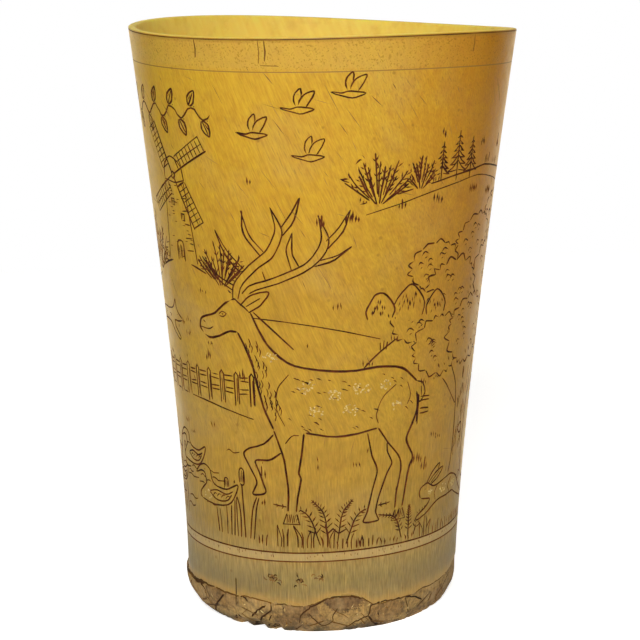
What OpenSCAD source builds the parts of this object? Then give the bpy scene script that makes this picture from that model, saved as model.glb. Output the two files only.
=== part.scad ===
// Drinking cup of pressed horn. A turned, tapering wall stands on its own rounded foot, and a horn disc,
// sprung into a groove inside that foot and sealed with a bead of pitch, is its bottom.

/* [Wall] */
// Height of the wall along its own axis, from the foot to the level below which the lip is cut
wall_h = 121.3; // [95:0.1:150]
// Outer radius just above the rounded foot
foot_r = 28.6; // [27:0.1:33]
// Outer radius at the lip
mouth_r = 39.5; // [35:0.1:46]
// How far the outline keeps to the upright above the rounded foot before it opens
foot_rise = 16; // [8:0.5:24]
// How far the outline's opening towards the lip reaches down the wall
mouth_reach = 48; // [30:1:60]
// Angle at which the outline opens at the lip
mouth_angle = 7.5; // [3:0.5:11]
// Thickness of the wall at the lip
lip_wall = 1.6; // [1.2:0.1:2.4]
// Thickness of the wall at the foot
foot_wall = 5.6; // [5:0.1:6.6]
// How far the wall leans from upright, because its foot was sawn a little off square
lean = 2.1; // [0:0.1:2.5]
// Drop of the lip's two low points below its two high points
lip_wave = 1.3; // [0.4:0.1:3]
// Direction of the lip's high points, from the front towards the right
lip_wave_turn = 45; // [0:5:175]
// Tilt of the lip against the wall's own axis, which lowers its right side
lip_tilt = 0.45; // [0:0.05:1]

/* [Foot] */
// Radius of the rounded outer edge of the foot
foot_round = 8; // [6:0.1:9]
// Height of that rounding's centre above the sawn foot
foot_round_h = 6.3; // [5:0.1:7]
// Number of flat flakes pared and split from the rounding
flake_count = 23; // [8:1:32]
// Depth of the deepest flake
flake_depth = 0.5; // [0.2:0.05:0.7]
// Steepest lean of a flake's face from upright
flake_lean = 46; // [20:1:50]

/* [Bottom disc] */
// Height of the disc's underside above the sawn foot
disc_rise = 7.4; // [6:0.1:10]
// Thickness of the disc
disc_thick = 2.8; // [2:0.1:3.6]
// How deep the groove is cut into the wall
groove_depth = 1.2; // [0.8:0.1:1.4]
// Room between the disc's edge and the groove
disc_play = 0.04; // [0.02:0.01:0.1]
// Rise of the disc's domed top above its edge
disc_dome = 0.7; // [0.3:0.1:1.2]
// Radius of the pitch bead in the corner between the disc and the wall
bead_r = 1.5; // [0.8:0.1:2]

/* [Hidden] */
// Stretches that the outline is drawn in, from the rounded foot to the lip
outline_steps = 24;
// Fineness of the turned surfaces, of the flattened domes and of the saddle that trims the lip
turn_fn = 180;
saddle_fn = 720;
// How far cuts run past what they cut
overrun = 5;
// The flakes' sizes and places are drawn by lot from this seed
flake_seed = 11;
// Flakes stray from even spacing by up to this share of their spacing
flake_stray_share = 0.36;
// The shallowest flake and the flake nearest to upright, as shares of the greatest ones
flake_least_share = 0.4;
flake_upright_share = 0.3;

// The mouth's centre lies over the origin, so the foot's centre is set back by what the wall leans
foot_shift = wall_h * sin(lean);
// The foot's low side reaches this far below its centre before it is sawn level
foot_below = foot_r * tan(lean) + overrun;
// Radius of the saddle, which drops by lip_wave over the width of half the mouth
saddle_r = (mouth_r * mouth_r + lip_wave * lip_wave) / (2 * lip_wave);
// Heights of the disc's lower and upper face, and of the edge that sits in the groove
disc_top = disc_rise + disc_thick;
disc_mid = disc_rise + disc_thick / 2;

// A point of the curve that a pen draws from a to d, pulled towards b and c
function curve(a, b, c, d, t) = pow(1 - t, 3) * a + 3 * pow(1 - t, 2) * t * b
    + 3 * (1 - t) * t * t * c + pow(t, 3) * d;
// Outer radius and height of the wall at share t of the way up from the rounded foot
function outer_point(t) = [
    curve(foot_r, foot_r, mouth_r - mouth_reach * tan(mouth_angle), mouth_r, t),
    curve(foot_round_h, foot_round_h + foot_rise, wall_h - mouth_reach, wall_h, t)];
// Thickness of the wall there: thick at the foot, thinning towards the lip
function wall_at(t) = lip_wall + (foot_wall - lip_wall) * pow(1 - t, 2);
// The points of the outline from the foot up, each moved inwards by the wall's thickness if inner is 1
function side_points(inner) = [for (i = [0 : outline_steps]) let (t = i / outline_steps)
    outer_point(t) - [inner * wall_at(t), 0]];
// Radius of the wall's inside just above the foot
inner_foot_r = foot_r - foot_wall;
// Radius of the wall's inside at height h, between the two outline points that h lies between
function inner_r_at(h) = lookup(h, [for (p = concat([[inner_foot_r, 0]], side_points(1))) [p[1], p[0]]]);

// Half section of what the outer surface encloses: the side's outline and the circle that rounds the foot
module outer_section() {
    polygon(concat([[0, foot_round_h]], side_points(0), [[0, wall_h]]));
    translate([foot_r - foot_round, foot_round_h]) circle(r = foot_round, $fn = turn_fn);
}

// Half section of the hollow: the drinking space and, below the disc, the recess of the foot
module hollow_section() {
    polygon(concat([[0, -foot_below], [inner_foot_r, -foot_below]], side_points(1),
        [[mouth_r - lip_wall, wall_h + overrun], [0, wall_h + overrun]]));
}

// Half section of a disc with a bevelled edge, grown by play all round: the groove is cut with the same shape
module bevelled_section(play) {
    edge_r = inner_r_at(disc_mid) + groove_depth + play;
    half = disc_thick / 2 + play;
    polygon([[0, disc_mid - half], [edge_r - groove_depth, disc_mid - half],
        [edge_r, disc_mid - disc_thick / 6], [edge_r, disc_mid + disc_thick / 6],
        [edge_r - groove_depth, disc_mid + half], [0, disc_mid + half]]);
}

// Puts what is turned about the wall's own axis where the leaning wall stands
module stand() {
    translate([-foot_shift, 0, 0]) rotate([0, lean, 0]) children();
}

// One flat flake: all that lies outside a plane that cuts depth deep into the foot's rounding
module flake(turn, slope, depth) {
    reach = 2 * foot_round;
    rotate([0, 0, turn]) translate([foot_r - foot_round, 0, foot_round_h]) rotate([0, slope, 0])
        translate([foot_round - depth, -reach / 2, -reach / 2]) cube(reach);
}

// The ring of flakes round the foot, at uneven turns, slopes and depths
module flakes() {
    turns = rands(-flake_stray_share, flake_stray_share, flake_count, flake_seed);
    slopes = rands(flake_upright_share, 1, flake_count, flake_seed + 1);
    depths = rands(flake_least_share, 1, flake_count, flake_seed + 2);
    for (i = [0 : flake_count - 1])
        flake((i + turns[i]) * 360 / flake_count, slopes[i] * flake_lean, depths[i] * flake_depth);
}

// The gently saddle-shaped and tilted top that the lip springs to as the horn cools
module lip_saddle() {
    translate([0, 0, wall_h - mouth_r * sin(lip_tilt)]) rotate([0, lip_tilt, 0]) rotate([0, 0, lip_wave_turn])
        translate([0, 0, -saddle_r]) rotate([90, 0, 0])
            cylinder(h = 2 * (mouth_r + overrun), r = saddle_r, center = true, $fn = saddle_fn);
}

// The horn wall, in one piece from lip to foot
module horn_wall() {
    color("goldenrod") difference() {
        stand() intersection() {
            difference() {
                rotate_extrude($fn = turn_fn) difference() {
                    outer_section();
                    hollow_section();
                    bevelled_section(disc_play);
                }
                flakes();
            }
            lip_saddle();
        }
        translate([-foot_shift - foot_r - overrun, -foot_r - overrun, -2 * foot_below])
            cube([2 * (foot_r + overrun), 2 * (foot_r + overrun), 2 * foot_below]);
    }
}

// The bottom: a horn disc with a bevelled edge and a slightly domed top
module base_disc() {
    dome_reach = inner_r_at(disc_top) - bead_r;
    dome_r = (dome_reach * dome_reach + disc_dome * disc_dome) / (2 * disc_dome);
    color("peru") stand() rotate_extrude($fn = turn_fn) {
        bevelled_section(0);
        intersection() {
            translate([0, disc_top + disc_dome - dome_r]) circle(r = dome_r, $fn = saddle_fn);
            translate([0, disc_mid]) square([dome_reach, disc_thick + disc_dome]);
        }
    }
}

// The bead of pitch that seals the corner between the disc's top and the wall
module pitch_bead() {
    color("saddlebrown") stand() rotate_extrude($fn = turn_fn) intersection() {
        translate([inner_r_at(disc_top), disc_top + disc_play]) circle(r = bead_r, $fn = turn_fn);
        hollow_section();
        translate([0, disc_top + disc_play]) square([foot_r, bead_r]);
    }
}

horn_wall();
base_disc();
pitch_bead();
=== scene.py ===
import math, random
import bpy
import numpy as np
from mathutils import Matrix, Vector
from mathutils.geometry import delaunay_2d_cdt


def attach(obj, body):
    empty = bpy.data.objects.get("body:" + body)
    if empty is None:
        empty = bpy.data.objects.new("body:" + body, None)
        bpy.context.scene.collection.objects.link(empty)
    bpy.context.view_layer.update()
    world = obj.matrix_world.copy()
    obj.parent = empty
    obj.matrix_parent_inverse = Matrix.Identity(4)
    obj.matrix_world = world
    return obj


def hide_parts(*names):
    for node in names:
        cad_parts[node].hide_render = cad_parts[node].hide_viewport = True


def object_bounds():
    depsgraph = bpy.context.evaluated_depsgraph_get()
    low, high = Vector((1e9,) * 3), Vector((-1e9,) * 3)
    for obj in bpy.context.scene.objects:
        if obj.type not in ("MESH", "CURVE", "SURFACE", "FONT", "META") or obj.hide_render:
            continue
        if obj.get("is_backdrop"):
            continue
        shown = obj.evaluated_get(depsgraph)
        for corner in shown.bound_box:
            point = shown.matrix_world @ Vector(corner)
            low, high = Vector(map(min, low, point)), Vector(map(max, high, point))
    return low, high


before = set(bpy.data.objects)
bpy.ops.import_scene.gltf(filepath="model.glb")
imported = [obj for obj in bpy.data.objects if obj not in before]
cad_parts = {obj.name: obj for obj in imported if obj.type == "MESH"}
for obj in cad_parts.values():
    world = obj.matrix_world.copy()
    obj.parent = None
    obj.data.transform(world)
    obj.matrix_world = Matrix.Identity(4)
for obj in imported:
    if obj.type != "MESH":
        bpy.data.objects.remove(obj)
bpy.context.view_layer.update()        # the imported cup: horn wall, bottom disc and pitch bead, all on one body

mm = 0.001


def linear(hexText):
    # an sRGB hex colour as Blender's linear one
    parts = [int(hexText[i:i + 2], 16) / 255 for i in (1, 3, 5)]
    return [c / 12.92 if c <= 0.04045 else ((c + 0.055) / 1.055) ** 2.4 for c in parts] + [1]


def feed(tree, node, inputs):
    # gives a node its inputs: each a number, a hex colour, or a node or socket to link from
    for name, value in inputs.items():
        if isinstance(value, bpy.types.Node):
            value = next(socket for socket in value.outputs if socket.enabled)
        if isinstance(value, bpy.types.NodeSocket):
            tree.links.new(value, node.inputs[name])
        else:
            node.inputs[name].default_value = linear(value) if isinstance(value, str) else value
    return node


def addNode(tree, kind, inputs=None, stops=(), **settings):
    # one node with its settings, its inputs and, on a colour ramp, its stops: places with a grey or a colour
    node = tree.nodes.new(kind)
    for name, value in settings.items():
        setattr(node, name, value)
    if stops:
        points = node.color_ramp.elements
        while len(points) < len(stops):
            points.new(0.5)
        for point, (at, colour) in zip(points, stops):
            point.position = at
            point.color = linear(colour) if isinstance(colour, str) else (colour, colour, colour, 1)
    return feed(tree, node, inputs or {})


# camera, floor and light

view = {                    # millimetres and degrees, fitted to the cup's outline in the photograph
    "aside": -2.72, "back": 398.0, "up": 139.9, "tilt": 11.45, "roll": -2.09,
    "lens": 108.96, "sensor": 36, "clipFrom": 10, "clipTo": 20000,
}
studio = {                  # lengths in metres, and levels of light of which 1 is white
    "floorHalf": 0.42,      # half of the paper's side
    "floorColour": "#f0f0f0", "floorLift": 0.78, "floorBounce": 0.17, "floorMirror": 1.7,
    "backColour": "#ffffff", "roomColour": "#ffe6ba",
    "roomFront": 0.01, "roomBehind": 0.04,      # level of the room's light before and behind the cup
    "roomFrom": -0.6, "roomTo": 0.8,            # where it begins and is full, as shares of the way behind
    "mirrorFront": 0.02, "mirrorBehind": 2.3,   # the same two levels, as the polish mirrors the room
    "mirrorFrom": 0.66, "mirrorTo": 0.95,       # and the same two places
    "paperSlant": 0.9, "paperEdge": 0.03,       # slope and length of its mirrored part's beginning
}
lamps = {                   # place and aim in metres, size of the square in metres, power in watts
    "key": {"at": (-0.05, -0.8, 0.55), "size": 0.3, "power": 7.7, "colour": "#fffaf0"},
    "top": {"at": (0.0, 0.12, 0.95), "size": 0.6, "power": 1.1, "colour": "#ffffff"},
}
lampAim = Vector((0, 0, 0.06))

camera = bpy.data.objects.new("camera", bpy.data.cameras.new("camera"))
camera.data.lens = view["lens"]
camera.data.sensor_width = view["sensor"]
camera.data.clip_start = view["clipFrom"] * mm
camera.data.clip_end = view["clipTo"] * mm
camera.matrix_world = (Matrix.Translation(Vector((view["aside"], -view["back"], view["up"])) * mm)
                       @ Matrix.Rotation(math.radians(90 - view["tilt"]), 4, "X")
                       @ Matrix.Rotation(math.radians(view["roll"]), 4, "Z"))
bpy.context.scene.collection.objects.link(camera)
bpy.context.scene.camera = camera
bpy.context.scene.view_settings.view_transform = "Standard"

for name, lamp in lamps.items():
    light = bpy.data.lights.new(name, "AREA")
    light.shape = "SQUARE"
    light.size = lamp["size"]
    light.energy = lamp["power"]
    light.color = linear(lamp["colour"])[:3]
    lampObject = bpy.data.objects.new(name, light)
    turned = (lampAim - Vector(lamp["at"])).to_track_quat("-Z", "Y").to_matrix().to_4x4()
    lampObject.matrix_world = Matrix.Translation(lamp["at"]) @ turned
    bpy.context.scene.collection.objects.link(lampObject)

world = bpy.data.worlds.new("studio")
bpy.context.scene.world = world
world.use_nodes = True
tree = world.node_tree
tree.nodes.clear()
rays = addNode(tree, "ShaderNodeLightPath").outputs
ways = addNode(tree, "ShaderNodeSeparateXYZ",
               {0: addNode(tree, "ShaderNodeTexCoord").outputs["Generated"]}).outputs
levels = [addNode(tree, "ShaderNodeMapRange",
                  {"Value": ways["Y"], 1: studio[kind + "From"], 2: studio[kind + "To"],
                                               3: studio[kind + "Front"], 4: studio[kind + "Behind"]})
          for kind in ("room", "mirror")]
level = addNode(tree, "ShaderNodeMix", {0: rays["Is Glossy Ray"], 2: levels[0], 3: levels[1]})
roomLight = addNode(tree, "ShaderNodeBackground", {"Color": studio["roomColour"], "Strength": level})
backdrop = addNode(tree, "ShaderNodeBackground", {"Color": studio["backColour"], "Strength": 1})
either = addNode(tree, "ShaderNodeMixShader", {0: rays["Is Camera Ray"], 1: roomLight, 2: backdrop})
addNode(tree, "ShaderNodeOutputWorld", {"Surface": either})

floorMesh = bpy.data.meshes.new("floor")
floorMesh.from_pydata([(x * studio["floorHalf"], y * studio["floorHalf"], 0)
                       for x, y in ((-1, -1), (1, -1), (1, 1), (-1, 1))], [], [(0, 1, 2, 3)])
floor = bpy.data.objects.new("floor", floorMesh)
bpy.context.scene.collection.objects.link(floor)
floor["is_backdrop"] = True
paper = bpy.data.materials.new("white paper sweep")
# bright to the camera, and a soft, weaker light from below for the cup
paper.use_nodes = True
tree = paper.node_tree
tree.nodes.clear()
rays = addNode(tree, "ShaderNodeLightPath").outputs
matte = addNode(tree, "ShaderNodeBsdfDiffuse", {"Color": studio["floorColour"]})
seen = addNode(tree, "ShaderNodeMath", {0: rays["Is Camera Ray"],
                                        1: studio["floorLift"] - studio["floorBounce"],
                                        2: studio["floorBounce"]}, operation="MULTIPLY_ADD")
# the polish mirrors the paper behind the cup, which is as bright as the room behind it
onPaper = addNode(tree, "ShaderNodeSeparateXYZ",
                  {0: addNode(tree, "ShaderNodeTexCoord").outputs["Object"]}).outputs
sideways = addNode(tree, "ShaderNodeMath", {0: onPaper["X"]}, operation="ABSOLUTE")
backward = addNode(tree, "ShaderNodeMath", {0: sideways, 1: -studio["paperSlant"], 2: onPaper["Y"]},
                   operation="MULTIPLY_ADD")
mirrored = addNode(tree, "ShaderNodeMapRange", {"Value": backward, 1: 0.0, 2: studio["paperEdge"],
                                                3: studio["floorBounce"], 4: studio["floorMirror"]})
lift = addNode(tree, "ShaderNodeMix", {0: rays["Is Glossy Ray"], 2: seen, 3: mirrored})
tint = addNode(tree, "ShaderNodeMix", {0: rays["Is Glossy Ray"], 6: studio["backColour"],
                                       7: studio["roomColour"]},
               data_type="RGBA")
glow = addNode(tree, "ShaderNodeEmission", {"Color": tint, "Strength": lift})
both = addNode(tree, "ShaderNodeAddShader", {0: matte, 1: glow})
addNode(tree, "ShaderNodeOutputMaterial", {"Surface": both})
floorMesh.materials.append(paper)
print("camera, floor and light are in place")


# the wall's form

wall = {                    # millimetres and degrees, as the CAD wall has them
    "height": 121.3, "footRadius": 28.6, "mouthRadius": 39.5, "footRise": 16, "mouthReach": 48,
    "mouthAngle": 7.5,
    "lipWall": 1.6, "footWall": 5.6, "lean": 2.1, "lipWave": 1.3, "lipWaveTurn": 45, "lipTilt": 0.45,
    "footRound": 8, "footRoundHeight": 6.3, "discRise": 7.4, "discThick": 2.8, "discPlay": 0.04,
    "grooveDepth": 1.2,
    "lipRound": 0.35,       # height of the lip's rounding
    "turns": 240,           # points round the lip and the foot
    "sheetRadius": 34,      # radius at which the drawing is unrolled without stretch
    "sheetHeight": 120,     # height of the unrolled drawing, from the foot to the lip's outer edge
    "footZone": 9, "lipZone": 110,   # beyond these heights the sheet is fitted to the foot and the lip
}
leanSin, leanCos = math.sin(math.radians(wall["lean"])), math.cos(math.radians(wall["lean"]))
footShift = wall["height"] * leanSin
saddleRadius = (wall["mouthRadius"] ** 2 + wall["lipWave"] ** 2) / (2 * wall["lipWave"])
sheetWidth = 2 * math.pi * wall["sheetRadius"]


def sheetX(turn):
    # where a direction, in degrees from the front towards the right, lies on the unrolled sheet
    return math.radians(turn) * wall["sheetRadius"]


def pen(a, b, c, d, t):
    return (1 - t) ** 3 * a + 3 * (1 - t) ** 2 * t * b + 3 * (1 - t) * t * t * c + t ** 3 * d


rise = np.linspace(0, 1, 601)
outlineHeight = pen(wall["footRoundHeight"], wall["footRoundHeight"] + wall["footRise"],
                    wall["height"] - wall["mouthReach"], wall["height"], rise)
outlineRadius = pen(wall["footRadius"], wall["footRadius"],
                    wall["mouthRadius"] - wall["mouthReach"] * math.tan(math.radians(wall["mouthAngle"])),
                    wall["mouthRadius"], rise)
outlineInside = outlineRadius - wall["lipWall"] - (wall["footWall"] - wall["lipWall"]) * (1 - rise) ** 2


def outerRadius(height):
    below = np.clip(height - wall["footRoundHeight"], -wall["footRound"], 0)
    rounding = wall["footRadius"] - wall["footRound"] + np.sqrt(wall["footRound"] ** 2 - below ** 2)
    return np.where(below < 0, rounding, np.interp(height, outlineHeight, outlineRadius))


def innerRadius(height):
    return np.interp(height, outlineHeight, outlineInside)


def stood(angle, height, radius):
    # points of the wall's own round in the cup's place, in metres: leaning, with the mouth over the origin
    x, y = radius * np.sin(angle), -radius * np.cos(angle)
    return np.stack([x * leanCos + height * leanSin - footShift, y, height * leanCos - x * leanSin], -1) * mm


def lipHeight(angle):
    # a saddle across the wall's axis, tilted so that its right side is lower
    across = wall["mouthRadius"] * np.sin(angle - math.radians(wall["lipWaveTurn"]))
    tilt = math.radians(wall["lipTilt"])
    level = wall["height"] - wall["mouthRadius"] * (math.sin(tilt) + np.sin(angle) * math.tan(tilt))
    return level - saddleRadius + np.sqrt(saddleRadius ** 2 - across ** 2)


def footHeight(angle, radius=None):
    # where the wall's own height meets the table: at a given radius, or on the rounded outside
    height = np.zeros_like(angle)
    for _ in range(6):
        height = (outerRadius(height) if radius is None else radius) * np.sin(angle) * leanSin / leanCos
    return height


def levelHeight(angle, above):
    # the wall's own height of what lies this far above the table
    height = np.zeros_like(angle) + above
    for _ in range(4):
        height = (above + outerRadius(height) * np.sin(angle) * leanSin) / leanCos
    return height


def sheetToHeight(angle, up):
    # heights on the unrolled sheet to heights on the wall
    foot, lip = footHeight(angle), lipHeight(angle) - wall["lipRound"]
    low = foot + (wall["footZone"] - foot) * up / wall["footZone"]
    zone = wall["sheetHeight"] - wall["lipZone"]
    high = wall["lipZone"] + (lip - wall["lipZone"]) * (up - wall["lipZone"]) / zone
    return np.where(up < wall["footZone"], low, np.where(up > wall["lipZone"], high, up))


# the graver: lines are drawn on the sheet and cut into the wall

graver = {
    "width": 0.38,          # of an ordinary line, in mm
    "depth": 0.3,           # as a share of the width
    "tolerance": 0.045,     # how far a cut may stray from its drawn line, in mm
    "wobble": 0.08,         # unsteadiness of the hand, in mm
    "seam": 0.35,           # how near to the unrolled sheet's side edges a line may come, in mm
    "widths": (0.85, 1.15), "pressures": (0.84, 1.16),  # how width strays from line to line, and along a line
    "leastInk": 0.68,       # how full of ink the barest line is
    "step": 0.5,            # length over which a line is hidden or shown, in mm
    "shortest": 0.25,       # a shorter line is left out, in mm
    "pointed": 1.4,         # length of a line's tapered end, in widths
}
lineWidth = graver["width"]
kinds = {                   # what a cut is, and its depth as a share of an ordinary line's
    "ink": {"depth": 1}, "crack": {"depth": 1.3}, "scratch": {"depth": 0.5}, "stipple": {"depth": 0.35},
}
hand = random.Random(7)
cuts = []                   # every cut: its path on the sheet, its half widths, its kind and its ink
covers = []                 # outlines that hide what is drawn after them


def smooth(points, closed=False, steps=6):
    # a curve through the points
    p = np.asarray(points, float)
    if len(p) < 3:
        return p
    before = np.vstack([p[-1], p[:-1]]) if closed else np.vstack([2 * p[0] - p[1], p[:-1]])
    after = np.vstack([p[1:], p[:1]]) if closed else np.vstack([p[1:], 2 * p[-1] - p[-2]])
    ahead = np.vstack([after[1:], after[:1] if closed else 2 * after[-1] - after[-2]])
    count = len(p) if closed else len(p) - 1
    t = (np.arange(steps) / steps)[None, :, None]
    a, b, c, d = (q[:count, None, :] for q in (before, p, after, ahead))
    curve = 0.5 * (2 * b + (c - a) * t + (2 * a - 5 * b + 4 * c - d) * t ** 2
                   + (3 * b - a - 3 * c + d) * t ** 3)
    curve = curve.reshape(-1, 2)
    return np.vstack([curve, p[:1] if closed else p[-1:]])


def thinned(path, tolerance):
    # the fewest points that keep the path within the tolerance
    keep = {0, len(path) - 1}
    stack = [(0, len(path) - 1)]
    while stack:
        first, last = stack.pop()
        if last - first < 2:
            continue
        chord = path[last] - path[first]
        offset = path[first + 1:last] - path[first]
        length = max(math.hypot(*chord), 1e-9)
        away = np.abs(chord[0] * offset[:, 1] - chord[1] * offset[:, 0]) / length
        if length < 1e-6:
            away = np.hypot(offset[:, 0], offset[:, 1])
        worst = int(away.argmax())
        if away[worst] > tolerance:
            keep.add(first + 1 + worst)
            stack += [(first, first + 1 + worst), (first + 1 + worst, last)]
    return path[sorted(keep)]


def inside(points, outline):
    x, y = points[:, 0][:, None], points[:, 1][:, None]
    ax, ay = outline[:, 0], outline[:, 1]
    bx, by = np.roll(ax, -1), np.roll(ay, -1)
    crosses = (ay > y) != (by > y)
    with np.errstate(divide="ignore", invalid="ignore"):
        at = ax + (y - ay) * (bx - ax) / (by - ay)
    return (np.where(crosses, x < at, False).sum(1) % 2).astype(bool)


def engrave(path, width=None, kind="ink", load=None, taper=0.5, hide=True, flats=False, blunt=True):
    # cuts one line, leaving out what the covers hide
    path = np.asarray(path, float)
    width = (width or lineWidth) * hand.uniform(*graver["widths"])
    load = hand.uniform(graver["leastInk"], 1) if load is None else load
    steps = [path[:1]]
    for a, b in zip(path[:-1], path[1:]):
        parts = max(1, int(math.hypot(*(b - a)) / graver["step"]))
        steps.append(a + (b - a) * (np.arange(1, parts + 1) / parts)[:, None])
    path = np.vstack(steps)
    shown = np.abs(path[:, 0]) < sheetWidth / 2 - graver["seam"]
    if hide:
        for outline, low, high in covers:
            near = shown & (path >= low).all(1) & (path <= high).all(1)
            if near.any():
                at = np.flatnonzero(near)
                shown[at[inside(path[at], outline)]] = False
    runs = np.split(np.arange(len(path)), np.flatnonzero(np.diff(shown.astype(int))) + 1)
    for run in runs:
        if len(run) < 2 or not shown[run[0]]:
            continue
        piece = thinned(path[run], graver["tolerance"])
        if len(piece) == 2:
            piece = np.stack([piece[0], piece.mean(0), piece[1]])
        if blunt and not flats:     # a long line keeps its width nearly to its ends
            for at, inward in ((len(piece) - 1, -1), (0, 1)):
                span = piece[at + inward] - piece[at]
                if math.hypot(*span) > 3 * width:
                    near = piece[at] + span * width * 0.9 / math.hypot(*span)
                    piece = np.insert(piece, max(at, 1), near, axis=0)
        along = np.concatenate([[0], np.cumsum(np.hypot(*np.diff(piece, axis=0).T))])
        if along[-1] < min(width, graver["shortest"]):
            continue
        ends = np.minimum(along, along[-1] - along) / (width * graver["pointed"])
        swell = np.ones(len(piece)) if flats else 1 - taper * (1 - np.clip(ends, 0, 1))
        swell = swell * [hand.uniform(*graver["pressures"]) for _ in piece]
        cuts.append({"path": piece, "half": width / 2 * swell, "kind": kind, "load": load, "flats": flats})


class Ground:
    # a place on the wall to draw from, in mm to the right of and above it
    def __init__(self, turn, height, size=1.0, flip=1):
        self.turn, self.height, self.size, self.flip = turn, height, size, flip
        self.stretch = wall["sheetRadius"] / float(outerRadius(np.float64(height + 15 * size)))

    def sheet(self, points):
        p = np.asarray(points, float) * self.size
        return np.stack([sheetX(self.turn) + p[:, 0] * self.flip * self.stretch,
                         self.height + p[:, 1]], -1)

    def line(self, points, width=None, curved=True, closed=False, wobble=1, **more):
        path = smooth(points, closed) if curved else np.asarray(points + points[:1] * closed, float)
        path = self.sheet(path)
        if wobble:
            shake = np.array([[hand.gauss(0, 1), hand.gauss(0, 1)] for _ in range(len(path) // 5 + 2)])
            at = np.linspace(0, len(shake) - 1, len(path))
            path = path + graver["wobble"] * wobble * np.stack(
                [np.interp(at, range(len(shake)), shake[:, i]) for i in (0, 1)], -1)
            if closed:
                path[-1] = path[0]
        engrave(path, width, **more)

    def cover(self, points, curved=True):
        outline = self.sheet(smooth(points, True) if curved else points)
        covers.append((outline, outline.min(0), outline.max(0)))


def ring(up, width, **more):
    # a line all round, cut as the cup turns
    angle = np.linspace(-math.pi, math.pi, 121)
    line = up(angle)
    line[-1] = line[0]
    path = np.stack([angle * wall["sheetRadius"], line], -1)
    cuts.append({"path": path, "half": np.full(len(path), width / 2), "load": 0.8, "flats": True,
                 "kind": "ink",
                 **more})


rules = {"belowLip": 6.2, "upper": 17.86, "lower": 15.95, "width": 0.34}
# each rule wavers a little, as the cup was turned by hand
ring(lambda angle: wall["sheetHeight"] - rules["belowLip"] + 0.12 * np.sin(3 * angle), rules["width"] * 0.6,
     kind="scratch", load=0.45)
ring(lambda angle: levelHeight(angle, rules["upper"]) + 0.08 * np.sin(5 * angle), rules["width"], load=0.75)
ring(lambda angle: levelHeight(angle, rules["lower"]) + 0.06 * np.sin(4 * angle + 1), rules["width"] * 0.9,
     load=0.45)


# the picture: folk motifs, from the nearest to the farthest, each hiding what lies behind it

def tuft(spot, x, y, size, blades=5):
    # a tuft of grass: thin strokes, and among them some blades with both edges drawn
    for i in range(blades):
        off = (i - (blades - 1) / 2) / blades
        tall = size * hand.uniform(0.5, 1) * (1 - 0.5 * abs(off))
        foot = x + (i - (blades - 1) / 2) * 0.95 + hand.uniform(-0.2, 0.2)
        tip = (foot + (off * 0.5 + hand.uniform(-0.12, 0.12)) * tall, y + tall)
        if tall > 3.2 and hand.random() < 0.5:
            spot.line([(foot - 0.35, y), (foot - 0.4, y + tall * 0.5), tip], lineWidth * 0.85, wobble=0.4)
            spot.line([(foot + 0.4, y), (foot + 0.45, y + tall * 0.45), tip], lineWidth * 0.7, wobble=0.4)
        else:
            spot.line([(foot, y + hand.uniform(-0.3, 0.3)), (foot, y + tall * 0.55), tip],
                      lineWidth * hand.uniform(0.7, 1.2),
                      wobble=0.4, load=hand.uniform(0.3, 1))


def stipple(spot, x, y, wide, tall, count, lean=0.0):
    # a patch roughened with a punch
    kept, covers[:] = list(covers), []
    for _ in range(count):
        turn, out = hand.uniform(0, 2 * math.pi), math.sqrt(hand.random())
        px, py = wide / 2 * out * math.cos(turn), tall / 2 * out * math.sin(turn)
        px, py = x + px * math.cos(lean) - py * math.sin(lean), y + px * math.sin(lean) + py * math.cos(lean)
        way, long = hand.uniform(0, math.pi), hand.uniform(0.25, 0.4)
        spot.line([(px - long * math.cos(way), py - long * math.sin(way)),
                   (px + long * math.cos(way), py + long * math.sin(way))],
                  hand.uniform(0.34, 0.5), curved=False, wobble=0, kind="stipple", load=hand.random() ** 2,
                  blunt=False)
    covers[:] = kept


def inkedField(spot, outline, gap, slope, width=None, curved=True, keep=1.0, **more):
    # parallel lines that fill an outline
    path = smooth(outline, True) if curved else np.asarray(outline, float)
    centre, reach = path.mean(0), np.hypot(*(path - path.mean(0)).T).max()
    way = np.array([math.cos(math.radians(slope)), math.sin(math.radians(slope))])
    side = np.array([-way[1], way[0]])
    for step in np.arange(-reach, reach, gap):
        start = centre + side * (step + hand.uniform(-0.15, 0.15) * gap) - way * reach
        line = start + way * np.linspace(0, 2 * reach, int(8 * reach) + 2)[:, None]
        within = inside(line, path)
        for run in np.split(np.arange(len(line)), np.flatnonzero(np.diff(within.astype(int))) + 1):
            if within[run[0]] and len(run) > 4 and hand.random() < keep:
                ends = line[run[[0, -1]]]
                spot.line([tuple(ends[0] * 0.94 + ends[1] * 0.06), tuple(ends[0] * 0.06 + ends[1] * 0.94)],
                          width or lineWidth * 0.7, curved=False, **more)


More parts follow.
